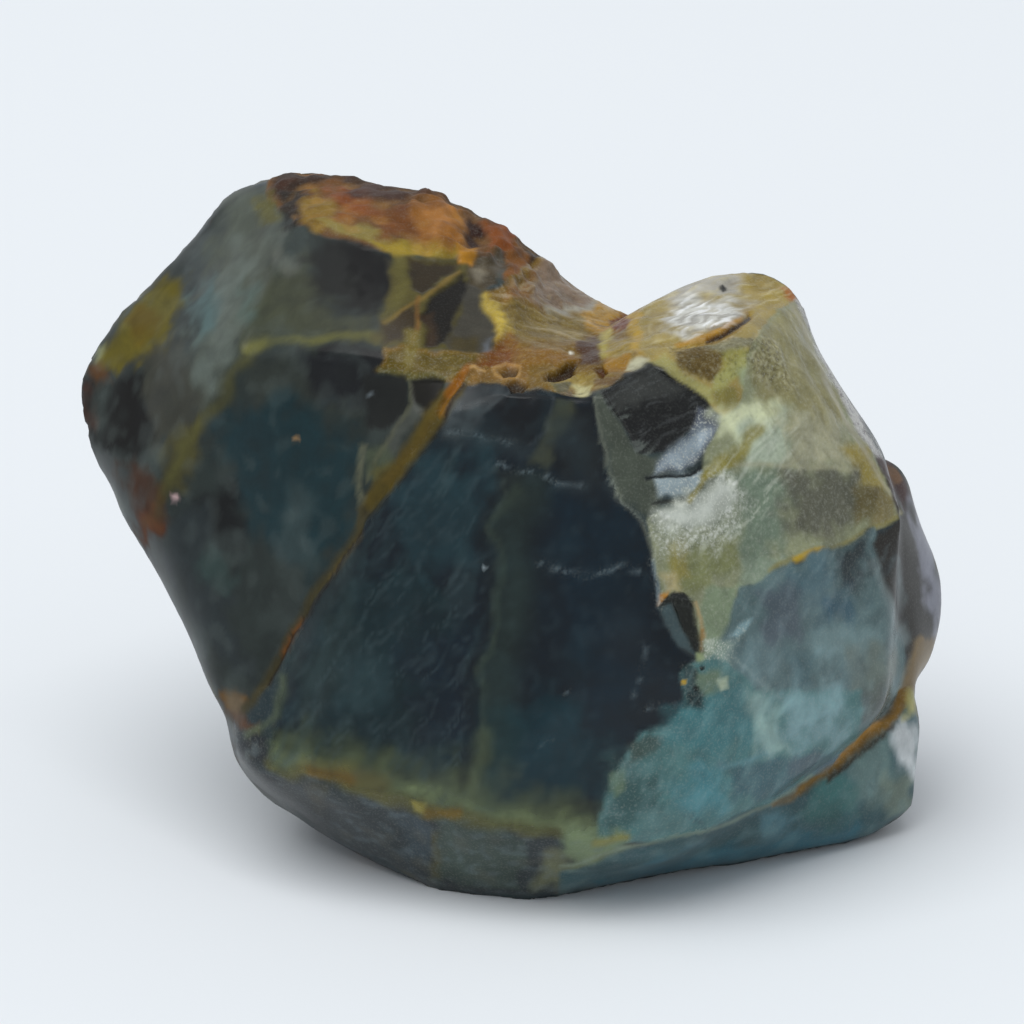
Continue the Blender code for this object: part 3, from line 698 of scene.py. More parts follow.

# The dark window: a splinter left this clear, flat spot, with glittering streaks at its lower left and silver
# ledges under it, on which the lamp's reflection is painted.
level([(601, 393, 0.0), (651, 363, -0.04), (707, 399, -0.04), (716, 420, -0.04), (664, 454, 0.0),
    (640, 453, 0.0)], 4)
lay(area([(592, 396), (603, 392), (640, 452), (662, 460), (662, 502), (648, 520), (618, 502), (606, 450)], 8,
    4), "#4b5247", see=0.25, matt=0.28, glint=0.08)
WINDOW = [(601, 393), (624, 376), (651, 363), (682, 382), (707, 399), (716, 412), (690, 432), (664, 454),
    (640, 453)]
lay(area(WINDOW, 4, 2), "#1b1c1c", see=0.4, matt=0.2, glint=0.05)
lay(area([(604, 394), (626, 377), (651, 365), (688, 389), (662, 396), (640, 400), (618, 412)], 14, 3) * 0.8,
    "#464845")
window = area(WINDOW, 3, 3)
window_lines = streaks(window, -28, 3.0, 20, 28)
lay(window * smooth_step(0.1, 0.4, window_lines) * 0.14, "#8a8f90")
lay(area([(600, 396), (618, 404), (640, 436), (662, 455), (640, 454)], 8, 8) * smooth_step(0.0, 0.4,
    window_lines) * 0.8, "#656c66")
# The silver stripe and the two ledges below it: painted reflection of the lamp on the splitting steps.
STRIPE = [(700, 406), (722, 414), (726, 430), (712, 452), (680, 470), (656, 475), (658, 464), (676, 446),
    (690, 430)]
lay(area(STRIPE, 6, 3), "#565c66", see=0.1, matt=0.22, glint=0.6)
lay(area([(700, 426), (714, 432), (704, 450), (688, 464), (656, 474), (660, 462), (680, 444)], 16, 3) * 0.9,
    "#93a0a8", see=0.0, matt=0.2, glint=0.5)
lay(area([(654, 476), (680, 474), (706, 466), (704, 482), (692, 494), (658, 497)], 6, 3), "#8d9ba0", see=0.0,
    matt=0.22, glint=0.5)
# Dark lines in the gaps between the ledges are painted shade; the gaps are also sunk.
LEDGE_GAPS = [
    [(648, 480), (660, 478), (676, 477), (692, 472), (707, 464)],
    [(654, 502), (668, 500), (680, 500), (694, 493)],
]
for route in LEDGE_GAPS:
    lay(line(route, 3.6, 2.5, 4), "#171c1e", see=0.0, glint=0.0)
    raise_skin(line(route, 5, 3, 4), -0.12)

# The pale face: weathered khaki and cream, the cream partly a painted highlight, grainy, thinly stained
# along its lower edge, and creased across.
level([(784, 467, 0.0), (848, 468, 0.0), (880, 510, 0.0), (819, 548, -0.2), (770, 566, -0.2),
    (744, 530, -0.1)], 12)
PALE = {
    "whole face": ([(738, 404), (752, 340), (790, 300), (812, 318), (845, 400), (880, 460), (904, 515),
        (862, 541), (820, 551), (770, 570), (742, 592), (706, 664), (692, 604), (660, 606), (655, 560),
        (646, 520), (656, 512), (684, 528), (720, 522), (738, 500), (720, 476), (704, 478), (704, 455),
        (722, 420)], "#868a6c", 4, 1.0),
    "khaki": ([(752, 342), (794, 304), (812, 340), (842, 410), (840, 440), (760, 430)], "#888258", 16, 0.95),
    # The cream patch is partly painted highlight: the lamp on the face's wavy skin.
    "cream": ([(722, 410), (744, 402), (774, 406), (772, 426), (744, 442), (720, 436)], "#d9dfb6", 24, 0.92),
    "grey-green": ([(748, 428), (790, 416), (800, 450), (780, 470), (748, 474)], "#b0bca6", 26, 0.9),
    "khaki, scratched": ([(792, 416), (846, 420), (858, 464), (790, 468)], "#a5a387", 20, 0.9),
    "gold flank": ([(846, 446), (864, 450), (888, 490), (872, 500), (856, 484)], "#928136", 12, 0.85),
    "green-grey, speckled": ([(730, 474), (784, 468), (792, 506), (776, 562), (740, 560), (726, 520)],
        "#6a7b6a", 30, 0.9),
    "brown-grey": ([(786, 469), (856, 469), (868, 500), (846, 532), (796, 536), (780, 500)], "#5a5a4d", 30,
        0.95),
    "brown corner": ([(852, 490), (880, 488), (890, 514), (856, 530)], "#5f542f", 14, 0.85),
    "khaki corner": ([(876, 494), (890, 498), (902, 515), (874, 528)], "#7c714a", 8, 0.9),
    "olive-gold": ([(668, 540), (700, 530), (736, 534), (738, 566), (700, 590), (672, 588)], "#767a50", 14,
        0.9),
    "gold edge": ([(670, 540), (684, 534), (690, 574), (674, 578)], "#8e8444", 9, 0.8),
    "cream tip": ([(660, 574), (676, 572), (678, 590), (664, 594)], "#b5a678", 9, 0.7),
    "orange tip": ([(657, 594), (669, 592), (666, 606), (658, 606)], "#b0771e", 4, 0.9),
    "green-grey foot": ([(738, 556), (790, 562), (770, 574), (744, 594)], "#82927f", 9, 0.85),
    "olive-green foot": ([(702, 592), (742, 588), (734, 622), (710, 654), (700, 616)], "#7a896e", 8, 0.95),
}
lay_features(PALE, see=0.1, matt=0.3, glint=0.13)
pale = area(PALE["whole face"][0], 4)
# The speckled patch: a pale, glittering core of painted glints, with white flecks and dark specks laid on it
# below.
SPECKLED = [(652, 507), (672, 502), (694, 493), (704, 479), (722, 476), (738, 484), (742, 506), (730, 536),
    (706, 548), (664, 552), (654, 530)]
speckled = area(SPECKLED, 24, 8)
lay(speckled * 0.75, "#9ca190", see=0.0, matt=0.25, glint=0.9)
lay(area([(654, 510), (676, 506), (700, 494), (716, 484), (732, 490), (724, 512), (690, 526), (662, 520)],
    22, 8) * 0.75, "#c3c8bf", see=0.0, glint=1.0)
lay(line([(759, 430), (744, 446), (724, 462), (706, 474)], 10, 7, 8) * 0.8, "#8c8236")
lay(line([(706, 474), (700, 486), (690, 500)], 5, 4, 4) * 0.7, "#8e8440")
down_left = streaks(pale, 132, 3.0, 24, 34)
lay(area([(700, 480), (760, 420), (800, 420), (800, 470), (740, 540), (700, 560), (670, 540)],
    20) * smooth_step(0.1, 0.45, down_left) * 0.3, "#d5dac8")
lay(area([(700, 480), (760, 420), (800, 420), (800, 520), (740, 600), (700, 640), (670, 540)],
    20) * smooth_step(0.15, 0.5, -down_left) * 0.2, "#5a6450")
slope_lines = streaks(pale, 62, 3.0, 18, 35)
khaki_face = area([(745, 342), (792, 304), (812, 340), (856, 440), (858, 470), (800, 470), (752, 420)], 14)
lay(khaki_face * smooth_step(0.15, 0.5, slope_lines) * 0.24, "#b5af8e")
lay(khaki_face * smooth_step(0.15, 0.5, -slope_lines) * 0.2, "#5f5a38")
pale_grit = speckle(0.17, 36, pale)
lay(pale * smooth_step(0.2, 0.5, pale_grit) * 0.1, "#d9dacb")
lay(pale * smooth_step(0.2, 0.5, -pale_grit) * 0.12, "#45483a")
# Pale flecks on the glittering khaki are painted glints, among dark specks.
glittering = area([(750, 336), (776, 340), (796, 384), (780, 396), (760, 380), (746, 352)], 14, 8)
lay(glittering * smooth_step(0.05, 0.3, -pale_grit) * 0.5, "#4f4426", glint=0.7)
lay(glittering * smooth_step(0.1, 0.35, pale_grit) * 0.25, "#cfcba8")
# White flecks on the speckled patch are painted glints; dark specks lie between them.
lay(speckled * smooth_step(0.15, 0.45, pale_grit) * 0.35, "#eef0ec")
lay(speckled * smooth_step(0.15, 0.45, -pale_grit) * 0.3, "#4d5548")
raise_skin(pale * pale_grit, 0.02)
raise_skin(pale * slope_lines, 0.03)
raise_skin(pale * mottle, 0.1)
lay(line([(735, 462), (784, 466), (856, 469)], 5, 5, 4) * 0.5, "#a5a386")
lay(line([(901, 514), (877, 529), (854, 540), (819, 552), (794, 559), (769, 570)], 5, 4, 5) * 0.6, "#8b8040")
lay(line([(822, 550), (808, 554), (796, 559)], 6, 4, 4) * 0.9, "#b0922a")
# A silver band along the right rim: painted reflection of the lamp, broken by darker streaks.
painted_rim_reflection = area([(792, 300), (802, 298), (816, 318), (832, 352), (842, 380), (868, 425), (888, 466),
    (884, 470), (862, 440), (842, 404), (831, 380), (812, 338)], 5, 5)
lay(painted_rim_reflection, "#a9a7a4", see=0.05, matt=0.22, glint=0.8)
lay(painted_rim_reflection * smooth_step(0.0, 0.35, speckle(0.35, 33, painted_rim_reflection)) * 0.75, "#6a6468")
lay(line([(790, 303), (810, 343), (829, 389), (840, 412), (851, 428), (877, 474), (901, 513)], 3.5, 3,
    3) * 0.6, "#a39e88")

# The blue-grey face and the back lump: clear stone under a thin bluish haze, brown at the back.
BLUE = {
    "whole face": ([(769, 572), (819, 553), (854, 542), (876, 532), (900, 560), (912, 640), (905, 690),
        (860, 742), (790, 792), (755, 750), (705, 690), (712, 655), (742, 592)], "#61797a", 6, 1.0),
    "slate blue": ([(780, 572), (812, 558), (832, 560), (828, 588), (788, 598)], "#52707a", 22, 0.8),
    "dark corner": ([(834, 550), (872, 540), (870, 580), (838, 586)], "#20282b", 20, 0.9),
    "blue": ([(812, 598), (842, 590), (856, 604), (850, 624), (822, 624)], "#2b5367", 26, 0.8),
    "purple-grey": ([(758, 590), (784, 582), (804, 596), (800, 640), (768, 648)], "#5a6670", 18, 0.85),
    "pale haze": ([(816, 628), (850, 620), (882, 626), (880, 668), (838, 680), (816, 660)], "#7a9495", 32,
        0.85),
    "dark haze": ([(784, 652), (806, 648), (814, 680), (796, 694)], "#4e6c72", 14, 0.8),
    "pale left": ([(738, 646), (764, 640), (778, 660), (760, 682), (738, 676)], "#708c8f", 16, 0.75),
    "grey foot": ([(858, 690), (886, 682), (898, 704), (866, 728)], "#5c5f5a", 12, 0.8),
    "olive-grey haze": ([(846, 652), (884, 642), (896, 676), (876, 706), (850, 696)], "#707a70", 24, 0.8),
}
BACK_LUMP = {
    "whole lump": ([(872, 458), (900, 466), (934, 530), (944, 600), (938, 660), (914, 700), (904, 650),
        (888, 599), (872, 545), (902, 516), (884, 480)], "#25211b", 5, 1.0),
    "lilac rim": ([(910, 500), (932, 524), (947, 600), (938, 650), (928, 600), (916, 540)], "#878894", 12,
        0.9),
    "rust": ([(872, 456), (894, 464), (910, 490), (906, 512), (888, 486)], "#341209", 8, 0.97),
    "orange spot": ([(888, 468), (898, 466), (902, 480), (892, 484)], "#6c4a26", 5, 0.8),
    "ochre seam": ([(914, 644), (938, 632), (934, 660), (916, 696), (904, 690)], "#7a6234", 8, 0.85),
}
lay_features(BLUE, see=0.3, matt=0.26, glint=0.1)
lay_features(BACK_LUMP, see=0.15, matt=0.3, glint=0.05)
blue_face = area(BLUE["whole face"][0], 6)
lay(blue_face * smooth_step(0.1, 0.5, streaks(blue_face, 118, 6, 40, 37)) * 0.14, "#9fb4b8")
lay(blue_face * smooth_step(0.0, 0.5, billows) * 0.22, "#8fa8ac")
lay(blue_face * smooth_step(0.0, 0.5, -mottle) * 0.2, "#35474e")
lay(line([(874, 563), (888, 599), (904, 640)], 9, 8, 5) * 0.6, "#7f8c8c")

# The front pane: the largest clean split, deep and glassy, with faint veils and an olive seam down its
# middle.
PANE = [(466, 382), (500, 387), (548, 394), (592, 396), (602, 440), (610, 474), (622, 502), (641, 521),
    (650, 545), (656, 572), (660, 606), (678, 646), (695, 658), (680, 676), (685, 690), (684, 704),
    (671, 726), (637, 732), (628, 754), (614, 772), (606, 792), (598, 826), (560, 836), (500, 826),
    (420, 806), (330, 780), (266, 765), (277, 713), (282, 680), (302, 622), (346, 550), (400, 474)]
raise_skin(area(PANE, 7, 3), -0.06)
pane = area(PANE, 3, 5)
lay(pane, "#0a1c27", see=0.5, matt=0.2, glint=0.0)
VEILS = {
    "slate left": ([(276, 760), (300, 650), (350, 570), (430, 560), (462, 640), (470, 770), (400, 790)],
        "#122f34", 50, 0.9),
    "pale mottle": ([(322, 670), (350, 650), (384, 664), (380, 708), (344, 720)], "#2d474c", 30, 0.85),
    "left edge": ([(282, 760), (290, 700), (316, 640), (346, 590), (360, 620), (330, 700), (320, 762)],
        "#2c3f3f", 30, 0.7),
    "teal veil": ([(392, 486), (430, 450), (486, 452), (494, 500), (470, 560), (410, 580)], "#22444c", 40,
        0.85),
    "dark heart": ([(404, 640), (470, 620), (474, 740), (420, 740)], "#03182a", 34, 0.7),
    "grey facet": ([(462, 388), (503, 390), (482, 416), (474, 436), (446, 440), (450, 412)], "#4a5254", 6,
        0.95),
    "dark oval": ([(474, 426), (486, 406), (508, 392), (540, 388), (551, 398), (548, 430), (530, 443),
        (494, 442)], "#0a1219", 5, 0.97),
    "olive facet": ([(551, 402), (572, 400), (580, 430), (560, 440), (542, 468), (530, 462), (548, 434)],
        "#53563c", 9, 0.85),
    "dark facet": ([(578, 402), (594, 398), (601, 430), (608, 470), (566, 474), (550, 462), (566, 434)],
        "#10161b", 10, 0.85),
    "brown depth": ([(496, 478), (520, 472), (524, 506), (504, 514)], "#1f2626", 14, 0.7),
    "right dark": ([(560, 480), (630, 520), (650, 600), (660, 680), (600, 740), (560, 620)], "#032433", 50,
        0.85),
    "upper right": ([(556, 420), (592, 404), (604, 440), (612, 480), (580, 500), (560, 470)], "#2b3437", 26,
        0.7),
    "low teal": ([(470, 700), (560, 690), (610, 740), (600, 800), (480, 800)], "#053a45", 40, 0.75),
    # The pale olive band and the olive glow along the pane's lower edge: painted glow of light passing
    # through the stone.
    "low olive": ([(268, 746), (340, 760), (430, 784), (520, 806), (600, 822), (598, 830), (500, 828),
        (420, 808), (266, 770)], "#9dae79", 20, 0.85),
    "olive glow": ([(270, 728), (340, 742), (430, 762), (500, 778), (600, 812), (598, 826), (420, 806),
        (266, 765)], "#5a6444", 36, 0.7),
}
lay_features(VEILS, stray=4)
wisps = streaks(pane, 112, 9, 70, 38)
fine_wisps = streaks(pane, 128, 3.0, 40, 39)
left_half = area([(260, 770), (300, 620), (400, 470), (470, 430), (500, 500), (490, 640), (480, 800)], 40)
lay(left_half * pane * smooth_step(0.1, 0.5, wisps) * 0.3, "#3c5558")
lay(left_half * pane * smooth_step(0.15, 0.5, fine_wisps) * 0.16, "#6a8084")
lay(pane * smooth_step(0.1, 0.5, billows) * 0.16, "#32505a")
lay(pane * smooth_step(0.15, 0.6, -clouds) * 0.22, "#060f16")
lay(pane * smooth_step(0.1, 0.5, fleck) * 0.12, "#4a5e64")
# A dark line along the step under the saddle: painted shade over the reflection its edge would catch.
lay(line([(492, 390), (520, 395), (548, 398), (592, 399)], 4, 4, 2) * 0.8, "#0c1013", see=0.0, matt=0.6)
facet_haze = area(VEILS["grey facet"][0], 6)
lay(facet_haze * smooth_step(0.0, 0.4, mottle) * 0.45, "#5c666a")
lay(facet_haze * smooth_step(0.0, 0.4, -fleck) * 0.5, "#252e33")
# The up-facing top of the grey facet is laid darker: painted shade.
lay(area([(460, 384), (508, 387), (502, 402), (464, 404)], 10) * 0.6, "#1c2428", matt=0.5)
SEAM = [(510, 493), (488, 525), (494, 560), (494, 606), (480, 660), (477, 700), (478, 740), (464, 790)]
lay(line([(x + 20, y) for x, y in SEAM], 38, 36, 8) * 0.3, "#425546")
lay(line([(x + 5, y) for x, y in SEAM], 7, 7, 8) * 0.3, "#50614e")
lay(line([(x - 7, y) for x, y in SEAM], 12, 12, 8) * 0.5, "#06141d")
lay(line([(486, 736), (476, 770), (466, 806)], 16, 14, 8) * 0.45, "#707c58")
lay(line([(499, 470), (506, 500), (492, 530), (495, 606), (484, 664), (481, 736), (470, 788)], 3, 3,
    10) * 0.12, "#6b7764")
SCRATCHES = [
    ([(497, 464), (520, 470), (543, 474), (558, 484)], 8, 0.45),
    ([(556, 481), (572, 484), (586, 489)], 5, 0.3),
    ([(447, 432), (480, 438), (512, 443)], 8, 0.35),
    ([(540, 562), (566, 573), (590, 575), (620, 568), (640, 574)], 9, 0.45),
    ([(539, 746), (549, 741)], 6, 0.5),
    ([(560, 694), (570, 690)], 5, 0.45),
    ([(644, 648), (640, 676), (632, 698)], 6, 0.4),
    ([(648, 712), (664, 706), (676, 702)], 7, 0.5),
    ([(655, 560), (657, 590), (662, 608)], 10, 0.9),
    ([(610, 474), (622, 502), (641, 521)], 6, 0.4),
]
for route, width, share in SCRATCHES:
    lay(line(route, width / 3, width / 3, 4) * share * 0.8, "#7c8b90", see=0.0)
    lay(line(route, width, width, 6) * share * 0.3, see=0.1, glint=0.7)
lay(line([(447, 434), (480, 440), (512, 446), (540, 452)], 18, 16, 6) * 0.35, "#3c4a4e")
lay(line([(594, 399), (603, 439), (611, 474), (622, 502), (641, 521), (655, 560)], 3.5, 3.5, 3) * 0.4,
    "#8b8f7c")
lay(line([(282, 690), (300, 640), (330, 590), (352, 556)], 16, 16, 8) * 0.3, "#4c5a58")
lay(line([(474, 426), (486, 406), (508, 392), (540, 387), (551, 397), (549, 430), (530, 444)], 3, 3,
    3) * 0.25, "#5c666a")

# The pocket: a small clear hollow at the pane's right corner, with a yellow rim.
POCKET = [(658, 607), (666, 597), (674, 591), (683, 592), (692, 602), (697, 625), (698, 643), (694, 659),
    (679, 647), (668, 628)]
lay(area(POCKET, 3, 2), "#232620", see=0.5, matt=0.2)
lay(area([(658, 607), (672, 604), (684, 630), (696, 658), (679, 647), (668, 628)], 6, 3), "#46575a", see=0.3)
lay(line([(694, 602), (701, 616), (704, 634)], 4, 3), "#998a64", see=0.0)
lay(line([(702, 629), (701, 649)], 4, 3, 2) * 0.7, "#8a6428", see=0.0)
lay(area([(705, 639), (714, 640), (713, 650), (706, 650)], 4, 2) * 0.9, "#c9cdbc", see=0.0)
lay(area([(694, 652), (707, 652), (704, 666), (697, 666)], 4, 2) * 0.9, "#98a678", see=0.0)
# A blue streak and a pale glittering patch beside the pocket: painted glints.
lay(area([(728, 634), (740, 622), (754, 616), (752, 626), (738, 638)], 6, 5) * 0.8, "#8aa8ae", see=0.0,
    glint=0.5)
lay(area([(700, 640), (716, 636), (732, 646), (722, 664), (714, 684), (700, 668)], 12, 6) * 0.8, "#8c9b8b",
    see=0.0, glint=1.0)
lay(area([(694, 664), (716, 652), (744, 630), (738, 656), (716, 690), (696, 690)], 18, 7) * 0.45, "#8fa29a",
    see=0.1, glint=0.9)
raise_skin(area([(672, 593), (692, 600), (697, 640), (684, 630)], 5, 2), -0.2)

# The lower right: thin, bright teal stone, with pale clouds and ochre crumbs along the pane's edge.
TEAL = {
    "whole corner": ([(697, 660), (712, 656), (760, 690), (862, 690), (862, 742), (830, 772), (790, 792),
        (750, 812), (704, 832), (656, 843), (600, 846), (598, 826), (606, 792), (628, 754), (637, 732),
        (671, 726), (684, 704), (680, 676)], "#588483", 5, 1.0),
    "grey-green": ([(606, 770), (640, 758), (664, 780), (664, 826), (600, 838)], "#3c5c5b", 24, 0.9),
    "brown crumbs": ([(629, 740), (648, 734), (662, 738), (658, 756), (632, 762)], "#3e4940", 7, 0.8),
    "yellow-green crumbs": ([(610, 776), (622, 770), (628, 788), (614, 798)], "#6f8468", 7, 0.8),
    "teal": ([(672, 704), (716, 690), (750, 704), (752, 752), (700, 758), (668, 740)], "#488085", 24, 0.85),
    # The bright teal is partly painted glow of light passing through the thin stone, over its own teal.
    "bright teal": ([(676, 780), (700, 766), (728, 776), (728, 808), (684, 816)], "#5797a0", 28, 0.9),
    "pale foot": ([(640, 814), (694, 812), (692, 832), (640, 842)], "#5f8382", 12, 0.8),
    "clouds": ([(782, 700), (812, 688), (846, 698), (842, 744), (806, 756), (786, 736)], "#9dc0c5", 54, 0.75),
    "slate": ([(724, 764), (800, 756), (846, 752), (836, 770), (790, 792), (740, 802)], "#4a6c75", 12, 0.9),
    "purple-grey": ([(790, 758), (846, 754), (830, 772), (796, 784)], "#60717a", 9, 0.8),
    "pale stripe": ([(747, 693), (763, 691), (774, 716), (785, 750), (770, 756), (759, 746), (749, 719)],
        "#aacac2", 18, 0.8),
    "olive-green": ([(698, 672), (716, 668), (726, 684), (712, 696), (700, 692)], "#7c8f72", 12, 0.85),
    "pale green spot": ([(718, 682), (726, 679), (729, 689), (721, 693)], "#e4f0cc", 5, 0.75),
    "black corner": ([(680, 668), (698, 668), (704, 690), (700, 706), (684, 704)], "#0c1718", 9, 0.9),
}
lay_features(TEAL, see=0.3, matt=0.26, glint=0.15)
corner = area(TEAL["whole corner"][0], 6)
lay(corner * smooth_step(0.05, 0.4, streaks(corner, 122, 5, 30, 40)) * 0.16, "#8fb4b4")
lay(corner * smooth_step(0.0, 0.45, -billows) * 0.3, "#2f5358")
lay(corner * smooth_step(0.0, 0.5, mottle) * 0.16, "#8db5b6")
lay(line([(723, 768), (745, 760), (767, 752)], 5, 3, 5) * 0.7, "#6f9fa6")
lay(line([(690, 812), (700, 822), (706, 830)], 3, 3, 3) * 0.6, "#38545a")
lay(line([(736, 660), (760, 680), (780, 700)], 4, 4, 6) * 0.2, "#b5c8c4")

# The foot: the stone's lower edge and the lobe below the iron-stained crack.
FOOT = {
    "whole foot": ([(232, 722), (246, 732), (268, 766), (330, 781), (420, 807), (500, 827), (560, 836),
        (600, 846), (656, 843), (640, 898), (440, 892), (330, 836), (240, 775)], "#333b3d", 4, 1.0),
    "slate flank": ([(236, 728), (266, 736), (268, 764), (242, 762)], "#272b30", 10, 0.9),
    "brown triangle": ([(308, 790), (330, 788), (322, 812), (310, 806)], "#565340", 8, 0.8),
    "blue-grey facet": ([(396, 814), (428, 816), (430, 862), (404, 856)], "#3d4b52", 12, 0.85),
    "olive-grey facet": ([(434, 814), (500, 828), (524, 842), (520, 888), (436, 884)], "#47564d", 9, 0.85),
    "brown seam": ([(430, 830), (438, 830), (442, 882), (434, 880)], "#56522f", 7, 0.8),
    "brown foot": ([(545, 856), (600, 850), (650, 856), (640, 892), (530, 892)], "#787b5b", 14, 0.85),
    "lobe": ([(656, 843), (704, 832), (750, 812), (790, 796), (830, 774), (862, 744), (905, 700), (922, 720),
        (920, 800), (860, 852), (700, 880), (560, 898), (560, 870)], "#416267", 4, 1.0),
    "pale lobe": ([(756, 816), (780, 808), (800, 818), (790, 838), (762, 838)], "#56808a", 14, 0.85),
    "teal lobe": ([(802, 786), (840, 772), (864, 780), (856, 818), (812, 826)], "#427774", 20, 0.85),
    "grey lobe": ([(846, 750), (888, 722), (894, 770), (880, 806), (850, 812)], "#6a8480", 20, 0.85),
    "olive lobe": ([(886, 774), (914, 778), (912, 812), (884, 820)], "#7d8c7d", 14, 0.85),
    "dark foot": ([(700, 854), (862, 826), (856, 856), (700, 884), (600, 896), (590, 882)], "#2d6c7c", 14,
        0.9),
    "white strip": ([(892, 724), (904, 718), (918, 740), (917, 780), (906, 778), (897, 750)], "#f6fafb", 18,
        0.85),
    "olive bump": ([(902, 690), (918, 690), (920, 714), (905, 718)], "#b7b16d", 8, 0.9),
    "yellow-green hem": ([(560, 824), (600, 828), (628, 836), (622, 852), (570, 862)], "#84966f", 14, 0.85),
}
lay_features(FOOT, see=0.3, matt=0.28, glint=0.1)
foot = area(FOOT["whole foot"][0], 5)
lobe = area(FOOT["lobe"][0], 5)
lay(foot * smooth_step(0.1, 0.5, mottle) * 0.25, "#69685a")
lay(foot * smooth_step(0.05, 0.45, fleck) * 0.25, "#76878c")
lay((foot + lobe).clip(0, 1) * smooth_step(0.1, 0.5, -billows) * 0.3, "#22302f")
lay(lobe * smooth_step(0.1, 0.5, mottle) * 0.25, "#7ea0a2")
lay(line([(267, 764), (296, 772), (334, 780), (372, 793), (410, 806), (454, 818), (500, 824), (560, 832)],
    12, 10, 8) * 0.8, "#646236")
lay(area([(242, 770), (270, 774), (330, 806), (340, 838), (296, 826), (250, 794)], 14, 8) * 0.6, "#15191b")
lay(line([(306, 768), (344, 772), (380, 784)], 17, 14, 6) * 0.45, "#74601e")
lay(line([(311, 774), (352, 780)], 11, 7, 6) * 0.8, "#775c1c")
lay(line([(428, 812), (456, 816)], 10, 6, 6) * 0.8, "#7d6522")
lay(area([(412, 803), (423, 804), (424, 812), (413, 811)], 4, 3) * 0.8, "#a89c4c")
lay(line([(598, 842), (612, 838), (627, 838)], 8, 6, 5) * 0.7, "#948c44")
lay(line([(812, 775), (790, 792), (769, 804), (732, 823), (703, 832), (656, 842), (610, 852), (560, 866)], 3,
    2.5, 3) * 0.6, "#93a28c")
lay(line([(905, 692), (895, 715), (873, 731), (860, 744), (840, 762)], 9, 6, 4), "#775a28", see=0.0, matt=0.5)
lay(line([(844, 758), (828, 773), (812, 783), (798, 792)], 7.5, 6, 4), "#6f5526", see=0.0, matt=0.5)
lay(line([(806, 788), (790, 797), (772, 805)], 5, 4, 3) * 0.8, "#745a2c", see=0.0, matt=0.5)
lay(line([(880, 722), (862, 738), (838, 760)], 4, 4, 3) * 0.7, "#a0742e", see=0.0)
lay(line([(893, 726), (866, 748), (847, 766), (828, 781)], 4.5, 4, 3) * 0.9, "#33240a")
raise_skin(line([(905, 692), (873, 731), (860, 744), (828, 773), (800, 792)], 7, 5, 4), -0.18)

# The big crack: it parts the wing from the pane, and is filled with iron ochre.
SPLINTERS = {
    "black splinter": ([(366, 374), (408, 375), (409, 406), (388, 426), (364, 428)], "#191b19", 7, 0.97),
    "brown splinter": ([(411, 378), (444, 382), (438, 396), (424, 412), (413, 408)], "#14110a", 5, 0.97),
    "grey splinter": ([(374, 462), (396, 420), (412, 404), (420, 412), (404, 440), (388, 466)], "#4b4f48", 8,
        0.92),
    "green splinter": ([(363, 452), (384, 446), (396, 462), (384, 482), (366, 478)], "#4c5540", 10, 0.85),
    "dark pocket": ([(369, 488), (382, 480), (388, 488), (376, 508), (368, 506)], "#1c2a28", 6, 0.9),
    "ochre splinter": ([(373, 468), (398, 464), (394, 480), (376, 480)], "#5d582c", 8, 0.8),
}
for outline, code, soft, share in SPLINTERS.values():
    lay(area(outline, soft, 6) * share, code, see=0.3, glint=0.0)
raise_skin(area(SPLINTERS["black splinter"][0], 6, 4), -0.06)
raise_skin(area(SPLINTERS["brown splinter"][0], 4, 4), -0.1)
lay(line([(412, 378), (410, 404), (398, 424), (380, 452), (368, 480)], 4, 4, 5) * 0.5, "#65654c")
lay(line([(361, 450), (357, 480), (362, 512)], 6, 6, 4) * 0.6, "#74745a")
OCHRE_WEDGE = [(455, 380), (470, 370), (463, 392), (450, 408), (442, 430), (425, 448), (402, 478),
    (376, 504), (362, 518), (356, 512), (374, 484), (398, 456), (414, 426), (430, 402)]
lay(area(OCHRE_WEDGE, 9, 4), "#473c12", see=0.0, matt=0.5)
lay(line([(440, 402), (426, 424), (410, 450), (386, 480)], 6, 6, 5) * 0.6, "#5c4b18")
lay(line([(460, 378), (450, 394), (441, 412)], 8, 8, 2) * 0.65, "#86590f", see=0.0)
lay(line([(467, 369), (456, 382), (449, 392)], 7, 6, 2) * 0.9, "#8a5510", see=0.0, matt=0.6)
lay(line([(464, 382), (456, 394), (449, 408), (442, 428)], 3, 3, 3) * 0.9, "#1e140a")
lay(line([(441, 430), (420, 456), (396, 486), (366, 518)], 2.5, 2.5, 3) * 0.6, "#1c1a0e")
lay(line([(362, 514), (350, 540), (334, 567), (305, 605), (286, 640), (266, 684), (244, 712)], 8, 6, 5),
    "#3a351f", see=0.0, matt=0.45)
lay(line([(358, 534), (346, 556), (330, 576)], 7, 5, 5) * 0.5, "#5a4c26")
lay(line([(299, 622), (290, 640), (282, 654)], 6, 4, 3) * 0.9, "#6c4216")
lay(line([(360, 530), (334, 574), (300, 622), (270, 682)], 4, 3, 4) * 0.85, "#17110a")
lay(line([(282, 676), (277, 712), (262, 724), (246, 733)], 7, 7, 5) * 0.7, "#55604a")
raise_skin(line([(462, 376), (424, 432), (364, 516), (350, 540), (302, 612), (266, 684)], 5, 4, 4), -0.2)

